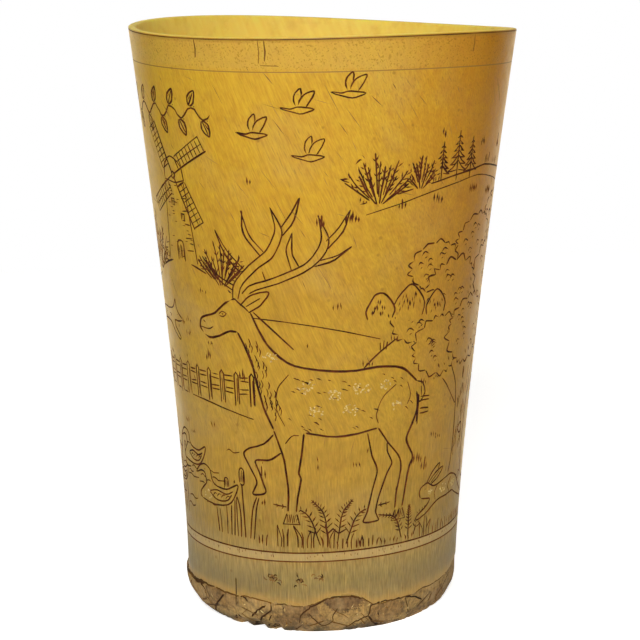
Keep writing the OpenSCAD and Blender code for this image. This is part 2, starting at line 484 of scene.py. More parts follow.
def stag(spot):
    fine = lineWidth * 0.75
    leg = [(20.2, 31), (20.6, 27), (19.4, 23), (18.3, 19.5), (20.3, 15.5), (19.6, 13), (18.6, 8), (18.0, 3.2)]
    legFront = [(16.0, 3.0), (16.4, 8), (17.2, 13.2), (16.2, 16.2), (13.4, 19.5), (10.6, 23.4)]
    back = [(-17.5, 50.5), (-15.5, 46), (-13, 42), (-9, 38.8), (-3, 37.6), (4, 37.2), (11, 38), (16, 37.2),
            (20.2, 33.4)]
    chest = [(-13.2, 23), (-15.4, 28), (-16.6, 33), (-17.6, 38), (-19.2, 42.6), (-20.8, 45.4)]
    jaw = [(-20.8, 45.4), (-22.8, 45.4), (-25.6, 44.0), (-28.6, 43.2), (-30.3, 43.9)]
    muzzle = [(-30.3, 43.9), (-31.3, 45.4), (-30.9, 47.2), (-29.2, 48.3), (-26.4, 49.4), (-24.0, 51.6),
              (-22.2, 52.9)]
    foreBack = [(-6, 22.6), (-6.6, 18), (-7.5, 13), (-7.0, 11), (-8.0, 6), (-8.2, 3.0)]
    foreFront = [(-10.3, 3.0), (-10.0, 7.5), (-10.3, 12.2), (-11.4, 17.5), (-13.2, 23)]
    belly = [(10.6, 23.4), (6, 22.2), (0, 21.6), (-6, 22.6)]
    beams = [
        [(-21.6, 53.2), (-20.8, 57), (-17.2, 61.5), (-13.2, 65.2), (-11.4, 69.6), (-12.2, 75)],
        [(-20.2, 53.2), (-19.2, 56.4), (-15.6, 60.4), (-11.8, 64.0), (-9.8, 69.4), (-12.2, 75)],
        [(-21.3, 55.2), (-25, 57.6), (-28.8, 62.2)], [(-28.8, 62.2), (-25.1, 58.4), (-20.9, 56.4)],
        [(-19.2, 59.5), (-22.6, 63.4), (-24.8, 69)], [(-24.8, 69), (-21.8, 63.9), (-18.4, 60.5)],
        [(-14.6, 63.6), (-17.9, 68.4), (-18.2, 74)], [(-18.2, 74), (-17.0, 68.9), (-13.8, 64.7)],
        [(-10.0, 68.4), (-7.6, 72.4), (-6.4, 77.4)], [(-6.4, 77.4), (-8.3, 73.4), (-10.3, 70.2)],
    ]
    far = [
        [(-19.8, 54.0), (-16.6, 57.0), (-10.8, 59.4), (-5.2, 62.8), (-2.4, 67.6), (-3.0, 73.4)],
        [(-19.2, 53.2), (-15.8, 55.8), (-10.0, 58.1), (-4.0, 61.6), (-0.9, 67.0), (-3.0, 73.4)],
        [(-8.2, 60.6), (-9.2, 65.0), (-8.0, 69.4)], [(-8.0, 69.4), (-8.2, 65.2), (-6.8, 61.6)],
        [(-1.2, 65.6), (1.9, 69.6), (3.2, 74.6)], [(3.2, 74.6), (1.2, 70.6), (-1.4, 67.4)],
        [(-13.6, 57.9), (-14.4, 60.2)], [(-3.8, 61.8), (0.4, 63.2), (3.6, 66.2)],
        [(3.6, 66.2), (0.4, 64.0), (-2.9, 62.9)],
    ]
    for path in (back, chest, jaw, muzzle, belly, leg, legFront, foreBack, foreFront):
        spot.line(path, lineWidth * 1.3)
    for hoof in ([(18.0, 3.2), (18.9, 0.4), (15.0, 0.2), (16.0, 3.0)],
                 [(-8.2, 3.0), (-7.4, 0.3), (-11.4, 0.2), (-10.3, 3.0)]):
        spot.line(hoof, lineWidth, curved=False)
        inkedField(spot, hoof, 0.45, 80, curved=False)
    spot.line([(20.2, 33.4), (21.9, 33.0), (22.7, 30.4), (21.4, 28.2), (20.2, 31)])
    spot.line([(21.6, 32.2), (21.7, 29.4)], fine)
    spot.line([(-31.1, 45.5), (-28.8, 45.3), (-27.2, 46.0)], fine)
    spot.line([(-30.4, 47.2), (-29.6, 46.7)], lineWidth)
    spot.line([(-25.4, 49.0), (-24.5, 49.9), (-23.4, 49.5), (-24.3, 48.7)], fine, closed=True, wobble=0)
    spot.line([(-24.7, 49.3), (-24.1, 49.3)], lineWidth * 1.2, curved=False, wobble=0)
    spot.line([(-22.2, 52.9), (-21, 53.3), (-19.6, 52.0), (-17.6, 50.4)])
    spot.line([(-19.9, 51.7), (-17.2, 54.4), (-13.2, 55.4), (-15.0, 52.2), (-18.2, 50.4)])
    spot.line([(-18.4, 51.4), (-15.0, 53.9)], fine)
    for path in beams:
        spot.line(path, lineWidth * 0.95)
    spot.cover([(-21.4, 53.6), (-20.6, 57), (-17.2, 61.2), (-13.2, 65.0), (-11.4, 69.6), (-11.9, 74),
                (-10.1, 69.4),
                (-11.9, 64.2), (-15.8, 60.5), (-19.4, 56.5), (-20.4, 53.4)])
    spot.cover(jaw[::-1] + chest[::-1] + foreFront[::-1] + foreBack[::-1] + belly[::-1] + legFront[::-1]
               + leg[::-1]
               + back[::-1] + [(-14.4, 53.4), (-19, 54.2)] + muzzle[::-1][:-1])
    for path in far:
        spot.line(path, lineWidth * 0.85)
    # the two far legs, one of them raised
    hind = [(13.0, 20.5), (13.2, 17.5), (14.6, 14.6), (13.2, 11.5), (11.6, 6.5), (10.9, 3.2), (11.7, 0.7),
            (8.0, 0.5),
            (8.8, 3.2), (9.8, 8), (11.0, 12.8), (9.4, 17), (8.2, 22.4)]
    raised = [(-12.6, 22.5), (-15.6, 19.2), (-19.8, 17.6), (-21.0, 16.0), (-19.0, 12.4), (-17.9, 9.6),
              (-19.0, 6.8),
              (-15.8, 7.3), (-16.2, 9.8), (-17.0, 12.2), (-18.0, 14.9), (-14.5, 15.6), (-10.9, 18.0)]
    for path in (hind, raised):
        spot.line(path, lineWidth * 1.05)
        spot.cover(path)
    # shoulder, haunch and ribs, the mane, and hair along the belly and back
    spot = Ground(spot.turn, spot.height, spot.size, spot.flip)
    kept, covers[:] = list(covers), []
    for path in ([(14.8, 33.6), (11.6, 30.4), (10.2, 26.6), (10.6, 24.2)],
                 [(-9.4, 36.4), (-12.0, 32.4), (-12.4, 27.8), (-10.6, 24.0)],
                 [(-10.6, 19.6), (-9.0, 21.6), (-7.2, 22.0)], [(17.6, 33.6), (18.6, 30.6), (17.8, 28.2)]):
        spot.line(path, fine)
    for share in np.linspace(0, 1, 17):     # the mane
        x, y = -20.0 + 5.6 * share, 44.0 - 17 * share
        for step in (0.5, 1.9, 3.4):
            x, y = x + hand.uniform(-0.25, 0.25), y + hand.uniform(-0.4, 0.4)
            if hand.random() < 0.8:
                spot.line([(x + step, y), (x + step + 0.4, y - 1.1), (x + step + 0.1, y - 2.2)], fine * 0.9,
                          wobble=0.4)
    coat = smooth([(-10.5, 36.2), (-4, 35.9), (4, 35.6), (11, 36.4), (16, 35.4), (18.6, 31), (16.6, 26),
                   (11.4, 24.6), (5, 23.6),
                   (-2, 23.2), (-8.6, 24.2), (-11, 29)], True)
    hairs = 0
    while hairs < 150:      # hair, thickest along the back, the belly and the haunch
        x, y = hand.uniform(-11.5, 19), hand.uniform(22.5, 37)
        near = 0.12 + 0.9 * min(1, abs(y - 29.8 - 0.05 * x) / 6) ** 2 + 0.5 * max(0, (x - 13) / 6)
        hairs += 1
        if hand.random() < near and inside(np.array([[x, y]]), coat)[0]:
            drop = 0.35 + 0.5 * max(0, (x - 8) / 10) + (0.25 if y < 27 else 0)
            long = hand.uniform(0.9, 1.6)
            spot.line([(x, y), (x + long * 0.5, y - long * drop * 0.3), (x + long, y - long * drop)],
                      fine * 0.9, wobble=0.3)
    covers[:] = kept
    for x, y, wide in ((-5.6, 33.4, 4.4), (0.6, 31.6, 3.6), (6.4, 33.2, 4.6), (-3.4, 27.8, 3.4),
                       (4.2, 28.0, 3.8), (12.0, 33.6, 3.2),
                       (-13.4, 40.2, 3.4), (15.0, 28.4, 3.0)):
        stipple(spot, x, y, wide, wide * 0.72, int(wide * 6), hand.uniform(-0.4, 0.4))


def foliage(spot, x, y, radius, leaves=8):
    # a round clump of leaves: a scalloped outline with leaf marks in it
    bumps = max(6, int(2 * math.pi * radius / 2.6))
    edgePoints = []
    for i in range(bumps):
        a, b = (2 * math.pi * (i + k) / bumps + 0.12 * math.sin(5 * (i + k) + x) for k in (0, 1))
        far = radius * hand.uniform(1.1, 1.24)
        start, end = ((x + radius * math.cos(t), y + radius * 0.88 * math.sin(t)) for t in (a, b))
        mid = (a + b) / 2
        top = (x + far * math.cos(mid), y + far * 0.88 * math.sin(mid))
        spot.line([start, (0.25 * start[0] + 0.75 * top[0], 0.25 * start[1] + 0.75 * top[1]),
                   (0.2 * end[0] + 0.8 * top[0], 0.2 * end[1] + 0.8 * top[1]), end], lineWidth, wobble=0.5)
        edgePoints += [start, top]
    for _ in range(leaves):
        turn, out = hand.uniform(0, 2 * math.pi), radius * 0.82 * math.sqrt(hand.random())
        px, py, size = x + out * math.cos(turn), y + out * 0.85 * math.sin(turn), hand.uniform(0.7, 1.1)
        spot.line([(px - size, py - 0.3), (px - 0.3, py + size * 0.7), (px + size, py + 0.1)],
                  lineWidth * 0.8, wobble=0.4)
        spot.line([(px - size * 0.3, py - 0.9), (px + 0.5 * size, py - 0.4)], lineWidth * 0.7, wobble=0.4)
    for i in range(7):      # the shaded side, in short dark strokes
        turn = -1.5 + 0.28 * i
        px, py = x + radius * 0.9 * math.cos(turn), y + radius * 0.78 * math.sin(turn)
        long = radius * hand.uniform(0.12, 0.24)
        spot.line([(px, py), (px - long * 0.5, py + long)], lineWidth * hand.uniform(0.9, 1.3), wobble=0,
                  load=hand.uniform(0.7, 1))
    spot.cover(edgePoints, curved=False)


def oak(spot):
    for x, y, radius in ((-1, 38, 8.5), (-12.5, 36, 7.5), (12, 37, 8), (-19.5, 43.5, 6.5), (19.5, 44.5, 6.5),
                         (-9.5, 48, 8.5),
                         (7.5, 49.5, 9), (-16, 55, 6.2), (16.8, 56, 6.2), (-2, 58.5, 7.6), (7, 65, 5)):
        foliage(spot, x, y, radius, leaves=int(radius * 1.3))
    left = [(-9.5, -1.2), (-6.2, 0.3), (-4.2, 3), (-3.2, 9), (-3.4, 18), (-4.6, 25), (-8, 31)]
    right = [(9.8, -1.4), (6.6, -0.2), (4.4, 3), (3.6, 10), (3.9, 18), (5.4, 26), (8, 31)]
    spot.line(left, lineWidth * 1.1)
    spot.line(right, lineWidth * 1.1)
    spot.line([(-4.0, 20), (-8.6, 25.5), (-13.5, 29.5)])
    spot.line([(4.3, 20.5), (9.6, 26), (13.5, 29.5)])
    for root in ([(-1.8, 0.6), (-2.6, -1.6)], [(2.2, 0.4), (3.4, -1.9)], [(0.3, 1.2), (0.2, -1.0)]):
        spot.line(root)
    spot.line([(-0.6, 13.2), (0.8, 14.4), (1.9, 13.0), (0.7, 11.8)], closed=True)
    for _ in range(30):
        x, y = hand.uniform(-2.6, 3.0), hand.uniform(2, 26)
        spot.line([(x, y), (x + hand.uniform(-0.3, 0.3), y + 1.4),
                   (x + hand.uniform(-0.2, 0.2), y + hand.uniform(2.2, 3.4))],
                  lineWidth * 0.75)
    spot.cover(left + right[::-1])


def windmill(spot):
    hub = (0, 17.5)
    for arm in range(4):
        turn = math.radians(28 + 90 * arm)
        way, side = (math.cos(turn), math.sin(turn)), (-math.sin(turn), math.cos(turn))

        def at(out, off):
            return (hub[0] + way[0] * out + side[0] * off, hub[1] + way[1] * out + side[1] * off)
        frameOf = [at(2.6, 0), at(11.5, 0), at(11.5, 3.2), at(2.6, 2.8)]
        spot.line([hub, at(11.9, 0)], lineWidth * 1.1, curved=False)
        spot.line(frameOf[1:], curved=False, wobble=0.4)
        spot.line([at(2.6, 0), at(2.6, 2.8)], curved=False)
        spot.line([at(2.8, 1.5), at(11.4, 1.6)], lineWidth * 0.7, curved=False)
        for out in np.arange(3.8, 11.2, 1.1):
            spot.line([at(out, 0.1), at(out, 3.0)], lineWidth * 0.7, curved=False, wobble=0.3)
    spot.line([(-0.7, 17.5), (0, 18.2), (0.7, 17.5), (0, 16.8)], closed=True, wobble=0)
    cap = [(-3.6, 16.6), (-3.0, 19.4), (-0.4, 21.2), (2.8, 19.6), (3.6, 16.6)]
    spot.line(cap)
    spot.line([(-3.6, 16.6), (0, 16.0), (3.6, 16.6)])
    spot.line([(-3.4, 16.4), (-5.4, 0)], curved=False)
    spot.line([(3.4, 16.4), (5.6, 0.2)], curved=False)
    spot.line([(-1.2, 0.1), (-1.1, 3.6), (0.1, 4.5), (1.3, 3.5), (1.3, 0.2)])
    inkedField(spot, [(-1, 0.2), (-1, 3.4), (0.1, 4.2), (1.2, 3.3), (1.2, 0.2)], 0.5, 90, curved=False)
    for x, y in ((-1.6, 11.4), (1.5, 8.6)):
        spot.line([(x, y), (x + 1, y), (x + 1, y + 1.3), (x, y + 1.3)], curved=False, closed=True, wobble=0.3)
        spot.line([(x + 0.5, y), (x + 0.5, y + 1.3)], lineWidth * 0.6, curved=False, wobble=0)
    for _ in range(30):
        y = hand.uniform(0.8, 15.6)
        x = hand.uniform(-1, 1) * (5.0 - y * 0.12)
        spot.line([(x, y), (x + 1.2, y)], lineWidth * 0.6, curved=False, wobble=0.4)
    for row in np.arange(2.6, 15.5, 2.6):
        spot.line([(2.4 - row * 0.04, row), (5.2 - row * 0.13, row + 0.1)], lineWidth * 0.7, curved=False)
    spot.cover([(-3.4, 16.4), (-5.4, 0), (5.6, 0), (3.6, 16.4), (2.8, 19.6), (-0.4, 21.2), (-3.0, 19.4)],
               curved=False)


def goose(spot, x, y, size):
    # a flying goose, seen from the side with both wings up
    def at(*pairs):
        return [(x + a * size, y + b * size) for a, b in pairs]
    fine = lineWidth * 0.8
    body = at((-5.6, 0.9), (-4.2, 0.75), (-2.6, 0.5), (-0.8, 1.0), (1.4, 0.9), (3.8, 0.5), (2.0, -0.3),
              (0.2, -0.8), (-1.8, -0.4),
              (-3.2, 0.0), (-4.6, 0.35))
    spot.line(body, fine, closed=True, wobble=0.3)
    spot.cover(body)
    near = at((-0.6, 0.7), (-0.1, 2.6), (1.4, 4.4), (3.9, 5.2), (3.2, 3.2), (2.0, 1.4), (1.3, 0.7))
    spot.line(near, fine, wobble=0.3)
    spot.cover(near)
    for share in (0.3, 0.6):
        spot.line(at((0.3 + share * 1.2, 1.6 + share), (1.6 + share * 1.9, 3.4 + share * 0.9)), fine * 0.8,
                  wobble=0.2)
    spot.line(at((-1.0, 0.9), (-1.7, 2.8), (-1.3, 4.6), (0.2, 5.9), (0.5, 4.6), (0.3, 3.6)), fine, wobble=0.3)


def duck(spot, x, y, size, flip=1):
    def at(*pairs):
        return [(x + a * size * flip, y + b * size) for a, b in pairs]
    body = at((-4.2, 0.2), (-4.7, 1.2), (-3.4, 2.6), (-2.6, 3.4), (-2.9, 5.0), (-4.0, 5.3), (-5.9, 4.6),
              (-4.2, 6.3),
              (-2.6, 6.7), (-1.2, 5.9), (-0.8, 4.2), (0.6, 3.3), (3.0, 3.2), (5.6, 4.4), (4.9, 2.2),
              (3.2, 0.4), (0, -0.2))
    spot.line(body, closed=True, wobble=0.5)
    spot.line(at((-3.0, 5.7), (-2.7, 5.8)), lineWidth * 1.2, curved=False, wobble=0)
    spot.line(at((-1.8, 1.9), (0.4, 2.6), (2.8, 2.2), (4.6, 3.0)), wobble=0.4)
    spot.line(at((-1.8, 1.9), (0.2, 0.8), (2.8, 1.0), (4.2, 2.4)), wobble=0.4)
    for i in range(4):
        spot.line(at((-0.8 + i * 1.1, 1.3), (-0.2 + i * 1.1, 1.9), (0.5 + i * 1.1, 1.8)), lineWidth * 0.7,
                  wobble=0.3)
    spot.line(at((-2.8, 3.6), (-1.9, 3.9), (-0.9, 3.7)), lineWidth * 0.8, wobble=0.3)
    stipple(spot, x - 2.4 * size * flip, y + 1.2 * size, 2.4 * size, 1.8 * size, 10)
    spot.cover(body)


def reeds(spot, x, y, size, count=7):
    for i in range(count):
        foot = x + (i - count / 2) * size * 0.13 + hand.uniform(-0.3, 0.3)
        tall, lean = size * hand.uniform(0.65, 1), hand.uniform(-0.28, 0.28) + 0.07 * (i - count / 2)
        tip = (foot + lean * tall, y + tall)
        middle = (foot + lean * tall * 0.25 - 0.3, y + tall * 0.55)
        if i % 3 == 1:
            spot.line([(foot, y), (middle[0] + 0.2, middle[1]), tip], wobble=0.4)
            head = [(tip[0] - 0.45, tip[1] + 0.2), (tip[0] - 0.5, tip[1] + 2.8), (tip[0] + 0.1, tip[1] + 3.4),
                    (tip[0] + 0.6, tip[1] + 2.7), (tip[0] + 0.5, tip[1] + 0.1)]
            spot.line(head, closed=True, wobble=0.2)
            inkedField(spot, head, 0.42, 84)
        else:
            spot.line([(foot - 0.35, y), middle, tip], wobble=0.3)
            spot.line([(foot + 0.45, y), (middle[0] + 0.9, middle[1] + 0.4), tip], wobble=0.3)


def water(spot, left, right, low, high, count):
    for _ in range(count):
        x, y, long = hand.uniform(left, right), hand.uniform(low, high), hand.uniform(2.5, 6)
        spot.line([(x, y), (x + long * 0.3, y + 0.35), (x + long * 0.6, y - 0.1), (x + long, y + 0.2)],
                  lineWidth * 0.8)


def hare(spot):
    body = [(-11.5, 5.6), (-12.2, 7.2), (-11.2, 8.8), (-9.2, 9.4), (-6.2, 8.0), (-2.2, 8.6), (2.4, 9.6),
            (6.6, 8.2), (9.0, 5.8),
            (11.6, 3.4), (15.2, 1.2), (14.2, 0.3), (10.8, 1.6), (7.0, 3.0), (4.6, 4.2), (0.6, 3.8),
            (-4.0, 3.4), (-8.8, 0.8),
            (-12.4, -0.5), (-12.9, 0.4), (-9.8, 2.2), (-7.6, 4.4), (-9.6, 5.0)]
    spot.line(body, closed=True, wobble=0.6)
    spot.line([(-8.8, 9.2), (-5.8, 11.8), (-2.4, 12.8), (-4.4, 10.4), (-7.6, 8.8)], wobble=0.4)
    spot.line([(-9.6, 9.3), (-7.2, 12.4), (-4.4, 14.2), (-4.7, 12.3)], wobble=0.4)
    spot.line([(-7.9, 9.3), (-4.0, 12.0)], lineWidth * 0.7)
    spot.line([(-10.1, 7.7), (-9.7, 7.9)], lineWidth * 1.3, curved=False, wobble=0)
    spot.line([(8.2, 7.2), (9.6, 8.8), (10.6, 7.8), (9.2, 6.2)], wobble=0.4)
    spot.line([(3.2, 8.8), (1.6, 6.6), (2.6, 4.4)], lineWidth * 0.8)
    spot.line([(-4.6, 7.8), (-5.8, 5.8), (-5.0, 3.8)], lineWidth * 0.8)
    for x, y, wide in ((-1.6, 6.4, 4.0), (5.0, 6.4, 3.4), (-7.6, 6.6, 2.0)):
        stipple(spot, x, y, wide, wide * 0.66, int(wide * 6))
    spot.cover(body)


def fox(spot):
    body = [(-8.2, 5.0), (-6.4, 6.3), (-5.7, 7.4), (-5.5, 9.0), (-4.6, 7.8), (-3.2, 6.9), (0, 6.4), (4, 6.3),
            (6.8, 5.8),
            (9.6, 6.6), (13.2, 6.4), (16.2, 4.4), (12.8, 4.0), (9.4, 4.5), (7.4, 4.0), (8.4, 2.3),
            (10.2, 0.6), (9.0, 0.1),
            (6.8, 1.9), (4.8, 3.4), (1.0, 3.7), (-1.8, 3.3), (-3.8, 1.6), (-6.2, 0.4), (-6.6, 1.2),
            (-4.6, 2.8), (-4.4, 4.3), (-6.2, 4.3)]
    spot.line(body, closed=True, wobble=0.5)
    spot.line([(-6.1, 5.7), (-5.7, 5.7)], lineWidth * 1.1, curved=False, wobble=0)
    spot.line([(12.4, 6.3), (13.0, 5.3), (12.2, 4.2)], lineWidth * 0.8)
    spot.line([(5.0, 6.0), (4.2, 4.6), (5.2, 3.4)], lineWidth * 0.8)
    for _ in range(14):
        x, y = hand.uniform(-2.5, 6.5), hand.uniform(4.1, 5.9)
        spot.line([(x, y), (x + 0.8, y - 0.15)], lineWidth * 0.65, wobble=0.3)
    spot.cover(body)


def haystack(spot, x, y, size):
    outline = [(x - size * 0.5, y), (x - size * 0.56, y + size * 0.4), (x - size * 0.3, y + size * 0.8),
               (x, y + size),
               (x + size * 0.32, y + size * 0.78), (x + size * 0.56, y + size * 0.4), (x + size * 0.5, y)]
    spot.line(outline)
    for _ in range(int(size * 3)):
        off, up = hand.uniform(-0.42, 0.42), hand.uniform(0.02, 0.6)
        spot.line([(x + size * off, y + size * up), (x + size * off * 0.86, y + size * (up + 0.2))],
                  lineWidth * 0.75,
                  wobble=0.3)
    spot.cover(outline)


def fern(spot, x, y, long, lean):
    # one frond: a bent stem with leaflets on both sides
    stem = smooth([(x, y), (x + lean * long * 0.3, y + long * 0.6),
                   (x + lean * long, y + long * (0.92 - 0.2 * abs(lean)))])
    spot.line([tuple(p) for p in stem], lineWidth * 0.9, curved=False)
    for at in range(2, len(stem) - 1):
        ahead = stem[at] - stem[at - 1]
        ahead = ahead / math.hypot(*ahead)
        reach = 0.17 * long * (1 - at / len(stem)) + 0.3
        for side in (-1, 1):
            tip = stem[at] + reach * (0.6 * ahead + 0.8 * side * np.array([-ahead[1], ahead[0]]))
            spot.line([tuple(stem[at]), tuple(tip)], lineWidth * 0.85, curved=False, wobble=0.3)


def sheep(spot, x, y, size, flip=1):
    def at(*pairs):
        return [(x + a * size * flip, y + b * size) for a, b in pairs]
    curls = 13
    outline = []
    for i in range(curls):
        a, b = (2 * math.pi * (i + k) / curls for k in (0, 0.5))
        start, top = (4.6 * math.cos(a), 6.2 + 2.9 * math.sin(a)), (5.5 * math.cos(b),
                                                                    6.2 + 3.7 * math.sin(b))
        end = (4.6 * math.cos(2 * b - a), 6.2 + 2.9 * math.sin(2 * b - a))
        spot.line(at(start, top, end), wobble=0.4)
        outline += at(start, top)
    spot.line(at((-4.4, 7.6), (-6.4, 8.0), (-7.9, 6.2), (-7.2, 5.2), (-5.4, 5.4), (-4.6, 5.2)), wobble=0.4)
    spot.line(at((-5.2, 7.8), (-4.0, 7.2), (-4.2, 6.6)), wobble=0.3)
    spot.line(at((-6.2, 6.8), (-5.9, 6.8)), lineWidth * 1.1, curved=False, wobble=0)
    for leg in (-3.2, -1.8, 2.0, 3.4):
        spot.line(at((leg, 3.2), (leg + 0.1, 0)), lineWidth * 1.2, curved=False, wobble=0.3)
    for _ in range(9):
        a, b = hand.uniform(-3.6, 3.6), hand.uniform(4.4, 8.0)
        spot.line(at((a - 0.5, b), (a, b + 0.5), (a + 0.5, b)), lineWidth * 0.7, wobble=0.3)
    stipple(spot, x, y + 6.2 * size, 7 * size, 4.4 * size, 36)
    spot.cover(outline, curved=False)


def pine(spot, x, y, tall):
    spot.line([(x, y), (x, y + tall)], curved=False)
    for i in range(6):
        share = i / 6
        wide, at = tall * 0.3 * (1 - share * 0.85), y + tall * (0.18 + share * 0.78)
        for side in (-1, 1):
            spot.line([(x, at + wide * 0.75), (x + side * wide * 0.5, at + wide * 0.25),
                       (x + side * wide, at)], wobble=0.4)
            spot.line([(x + side * wide, at), (x + side * wide * 0.5, at + 0.1), (x + side * 0.2, at + 0.3)],
                      lineWidth * 0.75, wobble=0.3)


def bareTree(spot, x, y, long, turn=90, depth=4):
    # a leafless tree: each branch forks twice
    a = math.radians(turn)
    end = (x + long * math.cos(a), y + long * math.sin(a))
    bend = hand.uniform(-0.12, 0.12) * long
    spot.line([(x, y), ((x + end[0]) / 2 - bend * math.sin(a), (y + end[1]) / 2 + bend * math.cos(a)), end],
              lineWidth * (0.6 + 0.16 * depth), wobble=0.3)
    if depth:
        for side in (-1, 1):
            bareTree(spot, end[0], end[1], long * hand.uniform(0.6, 0.8), turn + side * hand.uniform(14, 32),
                     depth - 1)


def ship(spot):
    hull = [(-11, 3.6), (-9.4, 0.8), (-4, -0.2), (4, -0.2), (9, 0.9), (11.2, 4.6), (8.4, 3.4), (0, 2.8),
            (-8, 3.2)]
    spot.line(hull, closed=True)
    spot.line([(-9.8, 2.2), (0, 1.6), (10, 2.6)], lineWidth * 0.8)
    spot.line([(0.6, 2.9), (0.8, 26)], lineWidth * 1.1, curved=False)
    spot.line([(-11, 3.6), (-16.6, 6.4)], curved=False)
    main = [(1.6, 5), (12.6, 6.2), (9.2, 21.8), (1.6, 17.4)]
    jib = [(-0.2, 22.6), (-3.4, 13), (-15.8, 6.4), (-1.2, 5.6)]
    spot.line(main, curved=False, closed=True, wobble=0.6)
    spot.line(jib, closed=True, wobble=0.6)
    spot.line([(1.4, 18.2), (4.2, 23.6), (0.9, 25)], curved=True)
    spot.line([(0.8, 27.8), (3, 27.4), (5.6, 26.2), (3, 26.2), (0.8, 25.8)], closed=True, curved=False,
              wobble=0.4)
    for share in (0.25, 0.5, 0.75):
        spot.line([(1.6 + 11 * share, 5 + 1.2 * share), (1.6 + 7.6 * share, 17.4 + 4.4 * share)],
                  lineWidth * 0.6, curved=False)
    for share in (0.3, 0.6):
        spot.line([(-1.4 - 13 * share, 5.7 + 0.6 * share), (-0.4 - 4.4 * share, 20.4 - 9 * share)],
                  lineWidth * 0.6)
    spot.cover(hull)


def sun(spot, radius=4):
    spot.line([(radius * math.cos(t), radius * math.sin(t)) for t in np.arange(8) * math.pi / 4], closed=True)
    for i in range(24):
        turn = math.radians(15 * i)
        near, far = radius * 1.25, radius * (1.95 if i % 2 else 1.6)
        spot.line([(near * math.cos(turn), near * math.sin(turn)),
                   (far * math.cos(turn), far * math.sin(turn))], curved=False)


def garland(fromTurn, toTurn, height, swing=1.1, leaf=3.4):
    # a wavy stem with two leaves springing from every bend
    spot = Ground((fromTurn + toTurn) / 2, height)
    half = math.radians(toTurn - fromTurn) / 2 * wall["sheetRadius"] / spot.stretch
    bend = 3.3
    spot.line([(x, swing * math.sin(x * math.pi / bend)) for x in np.arange(-half, half, bend / 4)],
              lineWidth)
    for i, x in enumerate(np.arange(-half + bend / 2, half, bend)):
        side = math.sin(x * math.pi / bend)
        side = 1 if side > 0 else -1
        way = np.array([0.5, 0.87 * side])
        off = np.array([-way[1], way[0]])
        root = np.array([x, swing * side]) + way * 0.3
        outline = [root, root + way * leaf * 0.45 + off * leaf * 0.3, root + way * leaf,
                   root + way * leaf * 0.4 - off * leaf * 0.26]
        spot.line([tuple(p) for p in outline], lineWidth * 1.1, closed=True, wobble=0.3)
        spot.line([tuple(root), tuple(root + way * leaf * 0.8)], lineWidth * 0.8, curved=False, wobble=0.2)
        inkedField(spot, outline[:3], 0.5, 60 * side, curved=False)
        for step in (0.9, 1.5):
            spot.line([(x + bend * 0.5, swing * side * 0.2 + step * side),
                       (x + bend * 0.5, swing * side * 0.2 + (step + 0.35) * side)],
                      lineWidth * 1.2, wobble=0)


def hill(fromTurn, toTurn, heights, hatch=0.0, width=None):
    # the crest of a hill, through heights at even turns
    turns = np.radians(np.linspace(fromTurn, toTurn, len(heights)))
    path = smooth(np.stack([turns * wall["sheetRadius"], heights], -1), steps=10)
    knots = range(0, len(path) + 5, 5)
    path[:, 1] += np.interp(range(len(path)), knots, [hand.gauss(0, 0.14) for _ in knots])
    engrave(path, width)
    for x, y in path[::2]:
        if hand.random() < hatch:
            for i in range(hand.randint(2, 4)):
                at = x + i * 0.6
                engrave([(at, y + 0.2), (at + hand.uniform(-0.2, 0.3), y + hand.uniform(1.2, 2.4))],
                        lineWidth * 0.75)


def shrub(spot, x, y, size, branches=15):
    # a bush of upright branches, each with its twigs
    for i in range(branches):
        turn = math.radians(90 + (i - (branches - 1) / 2) * 118 / branches + hand.uniform(-4, 4))
        long = size * hand.uniform(0.72, 1) * (1 - 0.25 * abs(math.cos(turn)))
        way = (math.cos(turn), math.sin(turn))
        near = size * (0.1 if i % 3 == 0 else hand.uniform(0.22, 0.36))
        foot = (x + way[0] * near, y + way[1] * (near - size * 0.1))
        middle = (foot[0] + way[0] * long * 0.5, foot[1] + way[1] * long * 0.5)
        tip = (foot[0] + way[0] * long * 0.92 + hand.uniform(-0.4, 0.4), foot[1] + way[1] * long)
        spot.line([foot, middle, tip], lineWidth * 0.9, wobble=0.5, load=hand.uniform(0.35, 1))
        for out in (0.42, 0.6, 0.78):
            for side in (-1, 1):
                if hand.random() < 0.8:
                    at = (foot[0] + way[0] * long * out, foot[1] + way[1] * long * out)
                    lean = turn + side * hand.uniform(0.35, 0.7)
                    twig = size * hand.uniform(0.1, 0.2)
                    spot.line([at, (at[0] + math.cos(lean) * twig, at[1] + math.sin(lean) * twig)],
                              lineWidth * 0.85,
                              wobble=0, load=hand.uniform(0.3, 1))
    spot.cover([(x - size * 0.15, y), (x - size * 0.72, y + size * 0.6), (x - size * 0.4, y + size * 0.95),
                (x, y + size * 0.98),
                (x + size * 0.4, y + size * 0.95), (x + size * 0.72, y + size * 0.6), (x + size * 0.15, y)])


def railFence(fromTurn, toTurn, low, tall=6.5, gap=4.6):
    # posts with two split rails
    spot = Ground((fromTurn + toTurn) / 2, low)
    half = math.radians(toTurn - fromTurn) / 2 * wall["sheetRadius"] / spot.stretch
    for x in np.arange(-half, half, gap):
        wide = hand.uniform(0.42, 0.6)
        post = [(x - wide, hand.uniform(-0.5, 0.1)), (x - wide * 0.9, tall - 0.3), (x, tall + 0.3),
                (x + wide, tall - 0.4), (x + wide, 0)]
        spot.line(post, curved=False, wobble=0.6)
        spot.line([(x + wide * 0.3, 0.6), (x + wide * 0.2, tall - 1)], lineWidth * 0.7, curved=False)
        spot.cover(post, curved=False)
    for up in (0.38, 0.76):
        for edgeUp in (0, 0.85):
            spot.line([(x, tall * up + edgeUp + hand.uniform(-0.12, 0.12))
                       for x in np.arange(-half - 1, half + 1, gap / 2)],
                      lineWidth * 0.9, wobble=0.5)


